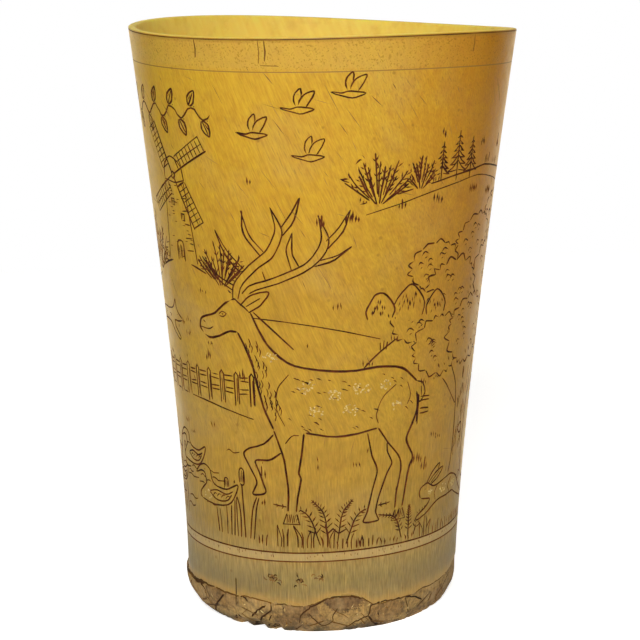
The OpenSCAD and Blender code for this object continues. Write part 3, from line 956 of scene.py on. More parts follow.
def dabs(turn, height, count=4, tall=2.2):
    # short heavy strokes side by side, as a sign for rough grass
    spot = Ground(turn, height)
    for i in range(count):
        x = i * 0.62 + hand.uniform(-0.15, 0.15)
        low = hand.uniform(-0.5, 0.2)
        high = tall * hand.uniform(0.6, 1) * (1.2 - abs(i - (count - 1) / 2) / count)
        spot.line([(x, low), (x + hand.uniform(-0.1, 0.25), high)], lineWidth * hand.uniform(1, 1.5),
                  wobble=0,
                  load=hand.uniform(0.3, 0.8))


stag(Ground(3, 23.5, 0.86))
hare(Ground(58, 23, 0.74))
for turn, up, size in ((-47, 25.5, 1.15), (-62, 32.5, 1.0), (-78, 27, 0.9)):
    duck(Ground(turn, up), 0, 0, size)
reeds(Ground(-35, 19), 0, 0.5, 13, 6)
for lean in (-0.9, -0.32, 0.28, 0.86):
    fern(Ground(4, 19.5), lean * 3, 0, 11, lean)
for lean in (-0.8, 0, 0.75):
    fern(Ground(36, 19.5), lean * 2, 0, 7.5, lean)
fox(Ground(-73, 58, 0.95, -1))
for x, size in ((-4.6, 5.4), (2, 6.6), (9, 5)):
    haystack(Ground(27, 66), x, -0.4, size)
reeds(Ground(-84, 20), 0, 0.5, 17, 8)
water(Ground(-60, 22), -16, 12, 0.5, 16, 26)
oak(Ground(66, 28, 0.86))
windmill(Ground(-55, 75, 1.0))
shrub(Ground(-36, 71.5), 0, 0, 8.5)
shrub(Ground(-76, 72), 0, 0, 10.5)
hill(-112, -10, [60, 66, 71, 75, 74, 68, 60], hatch=0.3)
shrub(Ground(39, 59.5), 0, 0, 9.5)
shrub(Ground(96, 60), 0, 0, 10)
hill(12, 52, [55, 60, 63, 61.5, 57], hatch=0.3)
shrub(Ground(17, 88.5), 0, 0, 9)
shrub(Ground(31, 91), 0, 0, 6.5, 11)
for x, tall in ((-4, 8), (0.5, 10), (5, 8.5)):
    pine(Ground(45, 92.5), x, -0.5, tall)
hill(11, 96, [88.5, 91, 93, 94, 92.6, 90], hatch=0.3)
hill(13, 88, [86.5, 89, 91.2, 92.4, 91, 88.5], width=0.26)
railFence(-78, -24, 47.5, gap=3.7)
railFence(28, 44, 43)
railFence(80, 108, 43)
hill(-112, -26, [51, 49, 48, 47, 45], hatch=0.15, width=0.3)
hill(-30, 20, [66, 65, 62], width=0.24)
for x, y in ((-6, -2.5), (3.5, 2.5), (5.5, -6.5), (13.5, 5.5), (15.5, -11)):
    goose(Ground(-12, 104), x, y, 0.72)
garland(-94, -34, 105.2)
for turn in np.arange(-179, 179, 8.6):
    if not -80 < turn < -28:
        tuft(Ground(turn + hand.uniform(-0.8, 0.8), 18.3), 0, 0.4, hand.choice((2.4, 3.4, 6.2)),
             hand.randint(3, 6))
for turn, height in ((-2, 84.2), (7, 85), (24, 87.5), (37, 88), (54, 89), (66, 88), (-24, 92), (58, 98.5),
                     (72, 97), (38, 101), (-30, 62),
                     (-44, 61), (-62, 62), (-20, 55), (-31, 53), (-46, 56), (-26, 33), (-24, 27), (41, 33),
                     (44, 52), (36, 35), (-86, 64)):
    dabs(turn, height, hand.randint(2, 5), hand.uniform(1.6, 2.8))
for _ in range(110):
    turn, height = hand.uniform(-180, 180), hand.uniform(26, 70)
    spot = Ground(turn, height)
    for i in range(hand.randint(1, 3)):
        spot.line([(i * 0.7, 0), (i * 0.7 + hand.uniform(-0.4, 0.2), hand.uniform(0.8, 1.7))],
                  lineWidth * 0.8)
# the far side
for turn, height, size, flip in ((118, 40, 1.15, 1), (140, 45, 1.0, -1), (131, 30, 1.25, 1)):
    sheep(Ground(turn, height), 0, 0, size, flip)
ship(Ground(-152, 52, 1.05))
water(Ground(-152, 44), -26, 22, -2, 9, 34)
hill(98, 176, [66, 70, 69, 63, 57], hatch=0.3)
bareTree(Ground(112, 68), 0, 0, 6.0)
bareTree(Ground(146, 62), 0, 0, 5.0)
for x, tall in ((-8, 9), (-3.5, 12), (2, 10)):
    pine(Ground(168, 60), x, 0, tall)
sun(Ground(157, 92))
for i, (x, y) in enumerate(((0, 0), (8, 3), (-9, 4))):
    Ground(-128, 92).line([(x - 2, y + 0.8), (x - 0.8, y + 1.2), (x, y), (x + 0.8, y + 1.2),
                           (x + 2, y + 0.8)])
garland(100, 160, 105.2)
reeds(Ground(-118, 19), 0, 0.5, 14, 7)
pine(Ground(172, 20.5), 0, 0, 31)
shrub(Ground(-164, 24), 0, 0, 11)
for lean in (-0.8, -0.1, 0.6):
    fern(Ground(110, 19.5), lean * 3, 0, 9.5, lean)
    fern(Ground(-142, 19.5), lean * 3, 0, 8, lean)
hare(Ground(-140, 29, 0.66, -1))
for x, size in ((-3, 5), (4, 6.4)):
    haystack(Ground(154, 60), x, 0, size)
for x, y in ((-6, -2.5), (4.5, 2.5), (8, -6)):
    goose(Ground(-160, 104), x, y, 0.72)
hill(-179, -96, [38, 40, 42, 41, 36], hatch=0.3)
hill(98, 150, [51, 54, 52, 49], hatch=0.2, width=0.3)
for turn, height in ((104, 58), (126, 60), (140, 57), (160, 50), (176, 54), (-172, 46), (-158, 34),
                     (-120, 46), (-106, 52), (112, 84),
                     (132, 90), (-100, 88), (-112, 78), (-176, 84)):
    dabs(turn, height, hand.randint(2, 5), hand.uniform(1.6, 2.8))
print("drawn:", len(cuts), "cuts")


# the pared foot: flat chips cut from its rounding, with cracks where they meet

foot = {                    # millimetres and degrees: turns from the front rightwards, levels from the table
    "line": [(-180, 7.2), (-160, 6.6), (-140, 6.9), (-120, 7.8), (-100, 8.2), (-86, 7.6), (-72, 7.5),
             (-58, 7.8), (-46, 7.7),
             (-36, 7.5), (-28, 7.2), (-20, 6.6), (-7, 6.6), (-3, 7.2), (2, 8), (12, 8), (17, 7.3), (20, 6.1),
             (36, 5.9),
             (44, 6.3), (52, 6.7), (64, 7), (73, 8), (90, 8.8), (110, 7.6), (130, 6.5), (150, 7.4),
             (165, 6.9), (180, 7.2)],
    "lineWave": 0.12, "step": 0.18,     # the line's unevenness, and how deep the paring starts there
    "chips": [(-84, 16, 0.5), (-72, 30, 0.5), (-60, 14, 0.42), (-51, 34, 0.5), (-44, 12, 0.36),
              (-36, 28, 0.5), (-29, 40, 0.4),
              (-22, 14, 0.4), (-15, 30, 0.5), (-7, 26, 0.38), (2, 40, 0.5), (9, -6, 0.24), (12, 24, 0.46),
              (20, 44, 0.4),
              (28.5, 20, 0.5), (43, 16, 0.5), (49, 38, 0.45), (58, 22, 0.5), (70, 10, 0.5), (80, 32, 0.5),
              (91, 18, 0.55)],
    "otherChips": 20, "smallChips": 64, "deepest": 0.62, "least": 0.3, "steepest": 44,
    "front": [[(-56, 1.6), (-49, 4.8), (-44, 7)], [(-57, 4.6), (-57, 6.6), (-61, 7.6)],
              [(-38, 11.2), (-38, 8.9), (-38, 5.1)],
              [(-36, 7.4), (-33, 7.1), (-32, 6.3)], [(-32, 3), (-28, 4.7), (-24, 6.2)],
              [(-31, 0.4), (-26, 3.4), (-22, 5.1), (-22, 6.9)],
              [(-10, 2.4), (-9, 4.4), (-6, 5.9), (-4, 6.6), (2, 8)],
              [(-6, 4.9), (-4, 3.8), (0, 1.8), (4, 2.9), (4, 4.2), (6, 5.9)],
              [(2, 8), (6, 8.2), (12, 8), (16, 7.5)],
              [(10, 0.8), (14, 2.3), (19, 3.4), (20, 5.6), (24, 6.1), (30, 6), (36, 5.9)],
              [(36, 5.9), (38, 3.8), (40, 1.6)], [(19, 3.4), (22, 1.6), (25, 0.5)],
              [(36, 5.9), (42, 5.1), (47, 3.7)],
              [(-90, 6.9), (-78, 7.3), (-66, 7.4), (-58, 7.6)], [(58, 2), (62, 4.4), (70, 6.4)],
              [(-78, 1.5), (-74, 4), (-70, 7)]],
    "crackWidth": 0.34, "slantCracks": 36,
    "proud": 0.78, "proudTurn": -72, "proudWide": 42,   # where the foot stands proud of the turned wall
    "glow": 1.9,            # height of the painted glow above the pared line, where light comes through the thin horn
    "fine": 12.6, "fineStep": 0.55,     # up to this height the mesh is as fine as this
}
chips = [(turn, slope, depth) for turn, slope, depth in foot["chips"]]
chips += [(100 + 156 * (i + hand.uniform(-0.3, 0.3)) / foot["otherChips"],
           hand.uniform(0.1, 1) * foot["steepest"],
           hand.uniform(foot["least"], foot["deepest"])) for i in range(foot["otherChips"])]
chips += [(hand.uniform(-180, 180), hand.uniform(0.1, 1.2) * foot["steepest"], hand.uniform(0.2, 0.5))
          for _ in range(foot["smallChips"])]
nicks = [(hand.uniform(-74, -18), hand.uniform(0.25, 0.7), hand.uniform(0.4, 1.1)) for _ in range(20)]
nicks += [(hand.uniform(-180, 180), hand.uniform(0.3, 0.7), hand.uniform(0.15, 0.5)) for _ in range(26)]
lineTurns, lineLevels = (np.array(column, float) for column in zip(*foot["line"]))


def levelOf(angle, height):
    # height above the table of a point of the outside
    return height * leanCos - outerRadius(height) * np.sin(angle) * leanSin


def heightToSheet(angle, height):
    low = footHeight(angle)
    return np.where(height < wall["footZone"], (height - low) * wall["footZone"] / (wall["footZone"] - low),
                    height)


def wrapped(degrees):
    return (degrees + 180) % 360 - 180


def paredLine(angle):
    # how high above the table the paring reaches
    return (np.interp(wrapped(np.degrees(angle)), lineTurns, lineLevels)
            + foot["lineWave"] * (np.sin(11 * angle) + 0.8 * np.sin(23 * angle + 2)
                                  + 0.6 * np.sin(41 * angle)))


def relief(angle, height):
    # how deep the foot is pared at points of the outside, by which chip, and how near a ridge between chips
    radius = outerRadius(height)
    best, second, owner = np.zeros(np.shape(angle)), np.zeros(np.shape(angle)), np.full(np.shape(angle), -1)
    for number, (turn, slope, depth) in enumerate(chips):
        tilt = math.radians(slope)
        away = (math.cos(tilt) * (radius * np.cos(angle - math.radians(turn)) - wall["footRadius"]
                                  + wall["footRound"])
                - math.sin(tilt) * (height - wall["footRoundHeight"]) - wall["footRound"] + depth)
        owner = np.where(away > best, number, owner)
        second = np.maximum(second, np.minimum(best, away))
        best = np.maximum(best, away)
    level = levelOf(angle, height)
    under = paredLine(angle) - level
    best = np.where(under > -0.6, best, 0)
    ridge = np.where((best > 0.02) & (under > 0), np.clip(1 - (best - second) / 0.1, 0, 1), 0)
    pared = foot["step"] * np.clip(under / 0.3, 0, 1)
    best = np.where(height < 14, np.maximum(best, pared), 0)
    off = wrapped(np.degrees(angle) - foot["proudTurn"]) / foot["proudWide"]
    best = best - foot["proud"] * np.exp(-off ** 2) * np.clip((under + 0.2) / 0.8, 0, 1)
    for turn, width, depth in nicks:
        off = np.radians(wrapped(np.degrees(angle) - turn)) * wall["footRadius"]
        nick = depth * np.exp(-(off / width) ** 2) * np.clip(1 - level / 2.6, 0, 1)
        best = best + np.where(level < 3, nick, 0)
    return best, owner, ridge


def crackLine(turns, levels, width, load=None, shaky=0.06):
    # a crack through points given by their turn in radians and their height above the table
    turns, levels = np.asarray(turns, float), np.asarray(levels, float)
    up = np.clip(heightToSheet(turns, levelHeight(turns, levels)), 0.35, None)
    path = np.stack([turns * wall["sheetRadius"], up], -1)
    shake = np.array([hand.gauss(0, shaky) for _ in path])
    path[1:-1, 1] = np.clip(path[1:-1, 1] + shake[1:-1], 0.35, None)
    engrave(path, width, "crack", load, hide=False)


for points in foot["front"]:            # the cracks that the photograph shows
    path = smooth([(math.radians(turn), level / 30) for turn, level in points], steps=5)
    crackLine(path[:, 0], path[:, 1] * 30, foot["crackWidth"] * hand.uniform(0.9, 1.4), hand.uniform(0.75, 1),
              0.09)
gridTurns = np.radians(np.arange(-179, 179.01, 0.25))
gridLevels = np.arange(0.3, 10, 0.15)
turnGrid, levelGrid = np.meshgrid(gridTurns, gridLevels)
heightGrid = levelHeight(turnGrid, 0) + levelGrid / leanCos
ownerGrid = relief(turnGrid, heightGrid)[1]
brink = paredLine(gridTurns)
start = 0
while start < len(gridTurns) - 12:      # the crack along the brink, in uneven stretches
    stop = min(len(gridTurns), start + hand.randint(24, 90))
    crackLine(gridTurns[start:stop:3], brink[start:stop:3], foot["crackWidth"] * hand.uniform(0.55, 1.2),
              hand.uniform(0.4, 1))
    start = stop + hand.randint(0, 6)
borders = {}
for row, level in enumerate(gridLevels):
    owners = np.where(level < brink, ownerGrid[row], -1)
    for at in np.flatnonzero(owners[1:] != owners[:-1]):
        pair = tuple(sorted((int(owners[at]), int(owners[at + 1]))))
        if pair[0] >= 0:
            borders.setdefault(pair, []).append((gridTurns[at], level))
for pair, spotsOn in sorted(borders.items()):
    runs = [[spotsOn[0]]]
    for spotOn in spotsOn[1:]:
        aside, above = spotOn[0] - runs[-1][-1][0], spotOn[1] - runs[-1][-1][1]
        if abs(aside) > 0.06 or above > 0.4 or spotOn[1] == runs[-1][-1][1]:
            runs.append([])
        runs[-1].append(spotOn)
    for run in runs:
        if len(run) > 6 and hand.random() < (0.45 if abs(run[0][0]) < 1 else 0.85):
            crackLine(*np.array(run)[::3].T, foot["crackWidth"] * hand.uniform(0.5, 1.1),
                      hand.uniform(0.35, 1), 0.04)
for _ in range(foot["slantCracks"]):
    turn, low, long = math.radians(hand.uniform(-178, 178)), hand.uniform(0.5, 3.6), hand.uniform(1, 2.8)
    lean = hand.choice((-1, 1)) * hand.uniform(0.3, 1.4)
    crackLine(turn + lean * long * np.linspace(0, 1, 5) / wall["footRadius"],
              low + long * np.linspace(0, 1, 5),
              foot["crackWidth"] * hand.uniform(0.35, 0.8), hand.uniform(0.3, 1))

marks = {                   # degrees from the front to the right, and millimetres
    "dirt": [(-41, 2.2, 1.0), (-38, 1.2, 0.9), (-33, 1.0, 1.2), (-24, 1.2, 0.9), (-21, 1.0, 0.8),
             (24, 1.0, 0.7)],
    "tears": 150,
    "rimTop": 119.78,       # a rim crack's turn, its lower end, its width and how full of dirt it is
    "rimCracks": [(-38.7, 116.1, 0.26, 0.6), (-18.4, 115.3, 0.2, 0.1), (-16.6, 115.7, 0.24, 0.3),
                  (47, 116.5, 0.2, 0.3), (121, 114.5, 0.3, 0.6)],
    "scrape": [(-18, 115.0), (-12.5, 114.9)], "scrapeWidth": 0.16,
    "worms": [(-20.5, 11.6, 1.5), (-9.2, 11.2, 0.8), (-1.8, 12.4, 0.6), (132, 10.5, 1.1)], "wormWidth": 0.3,
    "scratches": 330, "scratchTop": 119, "pricks": 150, "prickWidth": 0.26,
}
for turn, level, wide in marks["dirt"]:
    for _ in range(4):      # dirt caked in hollows
        at, up = turn + hand.uniform(-1.6, 1.6), level + hand.uniform(-0.4, 0.4)
        crackLine(np.radians([at, at + 0.8, at + 1.9]),
                  [up, up + hand.uniform(-0.3, 0.4), up + hand.uniform(-0.5, 0.5)],
                  wide * hand.uniform(0.5, 0.9), 1)
for number in range(marks["tears"]):     # short tears, pale where they are fresh
    turn, low, way = hand.uniform(-178, 178), hand.uniform(0.8, 5.8), hand.uniform(-1.2, 1.2)
    long = hand.uniform(0.5, 1.3)
    up = heightToSheet(np.radians([turn]), levelHeight(np.radians([turn]), low))[0]
    engrave([(sheetX(turn), up), (sheetX(turn) + long * math.sin(way), up + long * math.cos(way))],
            hand.uniform(0.14, 0.36), "stipple" if number % 3 else "crack", hand.random(), hide=False,
            blunt=False)

# the marks of use: rim cracks and a scrape, worm holes, scratches, and the pricked band between the rules
for turn, low, width, load in marks["rimCracks"]:
    engrave([(sheetX(turn), marks["rimTop"]), (sheetX(turn + 0.3), (119.7 + low) / 2), (sheetX(turn), low)],
            width, "crack", load)
engrave([(sheetX(turn), up) for turn, up in marks["scrape"]], marks["scrapeWidth"], "crack", 0.1)
for turn, up, wide in marks["worms"]:
    for number in range(int(9 * wide) + 3):     # what a worm has gnawed
        x, y = sheetX(turn) + hand.gauss(0, 0.42 * wide), up + hand.gauss(0, 0.4)
        way = hand.uniform(0, math.pi)
        bend, long = hand.uniform(-1.6, 1.6), hand.uniform(0.35, 0.6)
        line = [(x, y)]
        for _ in range(3):
            line.append((line[-1][0] + long * math.cos(way), line[-1][1] + long * math.sin(way)))
            way += bend
        engrave(smooth(line, steps=3), marks["wormWidth"], "scratch" if number % 3 else "crack",
                hand.uniform(0.6, 1))
for number in range(marks["scratches"]):        # most near the lip; low ones run upright, high ones slant
    x, y, long = hand.uniform(-104, 104), hand.triangular(22, marks["scratchTop"], 112), hand.uniform(1.5, 7)
    way = math.radians(hand.gauss(-16, 5) if number % 7 == 0 else hand.gauss(-58, 6)
                       if y > 52 else hand.gauss(84, 7))
    if y + long > marks["scratchTop"] or y - long < 19:
        long = 1.5
    engrave([(x, y), (x + long * math.cos(way), min(119.3, y + long * math.sin(way)))],
            hand.uniform(0.1, 0.18), "scratch", hand.uniform(0, 1), blunt=False)
for _ in range(marks["pricks"]):                # pricks between the two rules
    x = hand.uniform(-106, 106)
    level = hand.uniform(rules["lower"] + 0.5, rules["upper"] - 0.7)
    up = float(levelHeight(np.array([x / wall["sheetRadius"]]), level)[0])
    engrave([(x, up), (x + hand.uniform(-0.3, 0.1), up + hand.uniform(0.4, 0.8))], marks["prickWidth"],
            "scratch",
            hand.uniform(0.6, 1), blunt=False)
print("worn:", len(cuts), "cuts in all")


# the wall's mesh: the sheet with its cuts, bent round the wall, then the lip, the inside and the foot

def wallMesh():
    turns, radius = wall["turns"], wall["sheetRadius"]
    edge = sheetWidth / 2
    points, faces, faceCut, faceArea = [], [], [], []
    depthOf = []            # a groove's depth at its middle, by input point

    def addPoints(array, depths=None):
        first = len(points)
        points.extend(map(tuple, array))
        depthOf.extend([0.0] * len(array) if depths is None else list(depths))
        return first

    # the plain sheet: fine at the foot and lip, coarse in the picture
    fine = np.linspace(-edge, edge, turns + 1)
    addPoints(np.stack([fine, np.zeros_like(fine)], -1))
    finest = np.linspace(-edge, edge, int(sheetWidth / foot["fineStep"]))
    for up in np.arange(foot["fineStep"] * 0.8, foot["fine"], foot["fineStep"]):
        addPoints(np.stack([finest, np.full_like(finest, up)], -1))
    coarse = fine[::2]
    for up in np.arange(foot["fine"] + 1.5, wall["sheetHeight"] - 2, 2.5):
        addPoints(np.stack([coarse, np.full_like(coarse, up)], -1))
    for down in (0.9, 0.2, 0):
        addPoints(np.stack([fine, np.full_like(fine, wall["sheetHeight"] - down)], -1))

    for number, cut in enumerate(cuts):
        path, half = cut["path"], cut["half"]
        ahead = np.diff(path, axis=0)
        ahead /= np.maximum(np.hypot(ahead[:, 0], ahead[:, 1]), 1e-9)[:, None]
        middle = np.vstack([ahead[:1], ahead[:-1] + ahead[1:], ahead[-1:]])
        middle /= np.maximum(np.hypot(middle[:, 0], middle[:, 1]), 0.5)[:, None]
        across = np.stack([-middle[:, 1], middle[:, 0]], -1)
        if cut["flats"]:
            across[0] = across[-1] = (0, 1)
        count = len(path)
        depth = 2 * half * graver["depth"] * kinds[cut["kind"]]["depth"]
        inner = slice(None) if cut["flats"] else slice(1, count - 1)
        if not cut["flats"]:
            depth = np.concatenate([[0], depth[1:-1], [0]])
        centre = addPoints(path, depth)
        sides = path[inner]
        left = addPoints(sides + across[inner] * half[inner, None])
        right = addPoints(sides - across[inner] * half[inner, None])
        shift = 0 if cut["flats"] else 1
        for i in range(count - 1):
            for first in (left, right):
                loop = [centre + i, centre + i + 1]
                if i + 1 - shift < len(sides):
                    loop.append(first + i + 1 - shift)
                if i - shift >= 0:
                    loop.append(first + i - shift)
                for corners in ((loop[0], loop[k], loop[k + 1]) for k in range(1, len(loop) - 1)):
                    (ax, ay), (bx, by), (cx, cy) = (points[c] for c in corners)
                    area = (bx - ax) * (cy - ay) - (by - ay) * (cx - ax)
                    if abs(area) > 1e-6:
                        faces.append(corners[::1 if area > 0 else -1])
                        faceCut.append(number)
                        faceArea.append(abs(area) / 2)
    found = delaunay_2d_cdt([Vector(p) for p in points], [], faces, 0, 1e-5, True)
    spots = np.array([tuple(v) for v in found[0]])
    tris = np.array(found[2])
    # which cut each triangle belongs to; a face that has spilled far beyond its own area is left out
    pairs = np.array([(t, g) for t, origins in enumerate(found[5]) for g in origins])
    a, b, c = (spots[tris[:, k]] for k in range(3))
    size = np.abs((b[:, 0] - a[:, 0]) * (c[:, 1] - a[:, 1]) - (b[:, 1] - a[:, 1]) * (c[:, 0] - a[:, 0])) / 2
    filled = np.bincount(pairs[:, 1], size[pairs[:, 0]], len(faces))
    sound = filled < 1.5 * np.array(faceArea) + 1e-3
    pairs = pairs[sound[pairs[:, 1]]]
    cutOf = np.full(len(tris), -1)
    np.maximum.at(cutOf, pairs[:, 0], np.array(faceCut)[pairs[:, 1]])
    print("faces that spilled:", int((~sound).sum()))
    depth = np.array([max((depthOf[o] for o in origins), default=-1) for origins in found[3]])
    # a point on a groove's edge stays at the surface, and one where grooves cross goes down
    outside = np.zeros(len(spots), bool)
    outside[tris[cutOf < 0].ravel()] = True
    depth = np.where(outside, 0, np.where(depth <= 0, lineWidth * graver["depth"] * 0.8, depth))
    print("sheet:", len(spots), "points,", len(tris), "triangles,", int((cutOf >= 0).sum()), "cut")
    return spots, tris, cutOf, depth


spots, tris, cutOf, depth = wallMesh()
edge = sheetWidth / 2
angles = spots[:, 0] / wall["sheetRadius"]
heights = sheetToHeight(angles, spots[:, 1])
chipDepth, chipOf, ridge = relief(angles, heights)
levels = levelOf(angles, heights)
outerPlaces = stood(angles, heights, outerRadius(heights) - depth - chipDepth)
outerPlaces[:, 2] = np.where(spots[:, 1] < 1e-4, 0, np.maximum(outerPlaces[:, 2], 0))

# the sheet's two side edges are one seam
leftSeam = np.flatnonzero(spots[:, 0] < -edge + 1e-4)
rightSeam = np.flatnonzero(spots[:, 0] > edge - 1e-4)
leftSeam = leftSeam[spots[leftSeam, 1].argsort()]
rightSeam = rightSeam[spots[rightSeam, 1].argsort()]
assert len(leftSeam) == len(rightSeam), (len(leftSeam), len(rightSeam))
index = np.arange(len(spots))
index[rightSeam] = leftSeam
used = np.unique(index)
renumber = np.zeros(len(spots), int)
renumber[used] = np.arange(len(used))
index = renumber[index]
outerTris = index[tris]
solid = ((outerTris[:, 0] != outerTris[:, 1]) & (outerTris[:, 1] != outerTris[:, 2])
         & (outerTris[:, 0] != outerTris[:, 2]))
tris, outerTris, cutOf = tris[solid], outerTris[solid], cutOf[solid]

# rings for the lip, the inside, the groove of the disc and the foot's flat face
turns = wall["turns"]
turnAngles = np.linspace(-math.pi, math.pi, turns + 1)[:-1]


def edgeRing(onEdge):
    ids = np.flatnonzero(onEdge & (spots[:, 0] < edge - 1e-4))
    return index[ids[spots[ids, 0].argsort()]]


topRing = edgeRing(spots[:, 1] > wall["sheetHeight"] - 1e-4)
footRing = edgeRing(spots[:, 1] < 1e-4)
assert len(topRing) == len(footRing) == turns, (len(topRing), len(footRing))
ringPlaces, ringNames = [], []
lipTop = lipHeight(turnAngles)
for i in range(1, 8):       # the lip's rounding
    bow = math.pi * i / 8
    ringPlaces.append(stood(turnAngles, lipTop - wall["lipRound"] * (1 - math.sin(bow)),
                            outerRadius(lipTop) - wall["lipWall"] * (1 - math.cos(bow)) / 2))
discMiddle = wall["discRise"] + wall["discThick"] / 2
seatTop = discMiddle + wall["discThick"] / 2 + wall["discPlay"]
for fraction in (0, 0.08, 0.2, 0.35, 0.5, 0.65, 0.8, 0.88, 0.93, 0.96, 0.975, 0.9865, 1):
    height = (lipTop - wall["lipRound"]) * (1 - fraction) + seatTop * fraction
    ringPlaces.append(stood(turnAngles, height, innerRadius(height)))
seatRadius = float(innerRadius(discMiddle))
for height, deep in ((discMiddle + wall["discThick"] / 6, 1), (discMiddle - wall["discThick"] / 6, 1),
                     (discMiddle - wall["discThick"] / 2 - wall["discPlay"], 0)):
    ringPlaces.append(stood(turnAngles, np.full(turns, height),
                            seatRadius + deep * (wall["grooveDepth"] + wall["discPlay"])))
recess = wall["footRadius"] - wall["footWall"]
for fraction in (0.35, 0.7, 1):
    height = (discMiddle - wall["discThick"] / 2) * (1 - fraction) + footHeight(turnAngles, recess) * fraction
    ringPlaces.append(stood(turnAngles, height, recess))
firstRing = len(used)
places = np.vstack([outerPlaces[used]] + ringPlaces)
ringIds = [topRing] + [firstRing + i * turns + np.arange(turns) for i in range(len(ringPlaces))] + [footRing]
quads, quadUv = [], []
sheetShare = 0.55           # share of the texture's height that the outside takes; the rest is for lip and inside
ringUp = np.linspace(sheetShare + 0.01, 0.995, len(ringIds))
across = np.arange(turns + 1) / turns
for number, (upper, lower) in enumerate(zip(ringIds[:-1], ringIds[1:])):
    quads.append(np.stack([upper, np.roll(upper, -1), np.roll(lower, -1), lower], -1))
    high, low = ringUp[number], ringUp[number + 1]
    quadUv.append(np.stack([np.stack([across[:-1], across[1:], across[1:], across[:-1]], -1),
                            np.tile([high, high, low, low], (turns, 1))], -1))
quads, quadUv = np.vstack(quads), np.vstack(quadUv)

mesh = bpy.data.meshes.new("hornWall")
mesh.from_pydata(places.tolist(), [], outerTris.tolist() + quads.tolist())
kindOf = np.array([list(kinds).index(cut["kind"]) + 1 for cut in cuts] + [0])
overLine = levels - paredLine(angles)
paredFace = (overLine[tris].mean(1) < 0) & (heights[tris[:, 0]] < 14)
# the top of the sheet at the lip's outer edge takes the dark crack finish, darker in places: a thin dark line
rimFace = (spots[tris, 1] > wall["sheetHeight"] - 0.25).all(1)
faceKind = np.where(cutOf >= 0, kindOf[cutOf], np.where(paredFace, len(kinds) + 1, np.where(rimFace, 2, 0)))
sawn = np.arange(len(quads)) >= len(quads) - 4 * turns      # the foot's flat face and the recess within it
materialIndex = np.concatenate([faceKind, np.where(sawn, len(kinds) + 1, 0)])
flat = np.concatenate([cutOf >= 0, np.zeros(len(quads), bool)])
chipped = np.concatenate([paredFace, np.arange(len(quads)) >= len(quads) - turns])
mesh.polygons.foreach_set("material_index", materialIndex.astype(np.int32))
mesh.polygons.foreach_set("use_smooth", ~(flat | chipped))

# what the finishes read: how deep in a groove a point is, how full of ink it is, which chip a face is on,
# how much a point is on the pared foot, how much painted glow it takes just above the pared line, and how much it
# is on the lip's darker edge
sheetUv = np.stack([spots[:, 0] / sheetWidth + 0.5, spots[:, 1] / wall["sheetHeight"] * sheetShare], -1)
uvMap = mesh.uv_layers.new(name="OFBake")
uvMap.data.foreach_set("uv", np.concatenate([sheetUv[tris].ravel(), quadUv.ravel()]).astype(np.float32))
ringCount = len(ringPlaces) * turns


rimNear = spots[:, 1] > wall["sheetHeight"] - 0.25


def pointLayer(name, values):
    layer = mesh.attributes.new(name, "FLOAT", "POINT")
    layer.data.foreach_set("value", np.concatenate([values[used], np.zeros(ringCount)]).astype(np.float32))


def ringLayer(name, values, byRing):
    # the same, with a value for each ring of the lip, the inside and the foot's hollow
    layer = mesh.attributes.new(name, "FLOAT", "POINT")
    layer.data.foreach_set("value", np.concatenate([values[used],
                                                    np.repeat(byRing, turns)]).astype(np.float32))


pointLayer("deep", np.where(rimNear, 0.6, np.clip(depth / (lineWidth * graver["depth"]), 0, 1)))
# painted glow: a band of light painted just above the pared line, as if coming through the thin horn
pointLayer("glow", np.where(heights < 20, np.clip(1 - overLine / foot["glow"], 0, 1), 0))
pointLayer("ridge", ridge)
ringLayer("inside", np.zeros(len(spots)), np.clip((np.arange(len(ringPlaces)) + 0.3) / 1.2, 0, 1))
ringLayer("lip", np.clip((spots[:, 1] - wall["sheetHeight"] + 0.4) / 0.4, 0, 1),
          np.clip(0.5 - np.arange(len(ringPlaces)), 0, 1))
rimLoad = np.array([hand.uniform(0.15, 1) for _ in range(90)])
rimLoad = np.interp(angles[tris[:, 0]], np.linspace(-math.pi, math.pi, 90), rimLoad)
for name, values in (("load", np.where(rimFace, rimLoad,
                                       np.array([cut["load"] for cut in cuts] + [0.0])[cutOf])),
                     ("chip", np.array([hand.random() for _ in chips] + [0.5])[chipOf[tris[:, 0]]])):
    layer = mesh.attributes.new(name, "FLOAT", "FACE")
    layer.data.foreach_set("value", np.concatenate([values, np.full(len(quads), 0.5)]).astype(np.float32))
mesh.update()

# true normals of the turned outside, so that the drawing's triangles don't show in its gloss
slope = (outerRadius(heights + 0.2) - outerRadius(heights - 0.2)) / 0.4
long = np.sqrt(1 + slope ** 2)
nx, ny, nz = np.sin(angles) / long, -np.cos(angles) / long, -slope / long
trueNormal = np.stack([nx * leanCos + nz * leanSin, ny, nz * leanCos - nx * leanSin], -1)
plainPoint = (heights > wall["footZone"] - 0.4) & (chipDepth == 0) & (depth == 0)
corner = np.where((plainPoint[tris] & ~flat[:len(tris), None])[..., None], trueNormal[tris], 0.0)
mesh.normals_split_custom_set(np.concatenate([corner.reshape(-1, 3), np.zeros((quads.size, 3))]).tolist())
print("wall:", len(places), "points,", len(outerTris) + 2 * len(quads), "triangles")

hornWall = bpy.data.objects.new("hornWall", mesh)
bpy.context.scene.collection.objects.link(hornWall)
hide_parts("horn_wall")
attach(hornWall, "root")


# what the finishes are built from

def newMaterial(name, *layers):
    # a material with its tree and shader, and the layers of values on the mesh that it reads
    material = bpy.data.materials.new(name)
    material.use_nodes = True
    tree = material.node_tree
    read = {layer: addNode(tree, "ShaderNodeAttribute", attribute_name=layer).outputs["Fac"]
            for layer in layers}
    return material, tree, tree.nodes["Principled BSDF"], read


def placeInMm(tree):
    where = addNode(tree, "ShaderNodeTexCoord").outputs["Object"]
    return addNode(tree, "ShaderNodeVectorMath", {0: where, 1: [1 / mm] * 3}, operation="MULTIPLY")


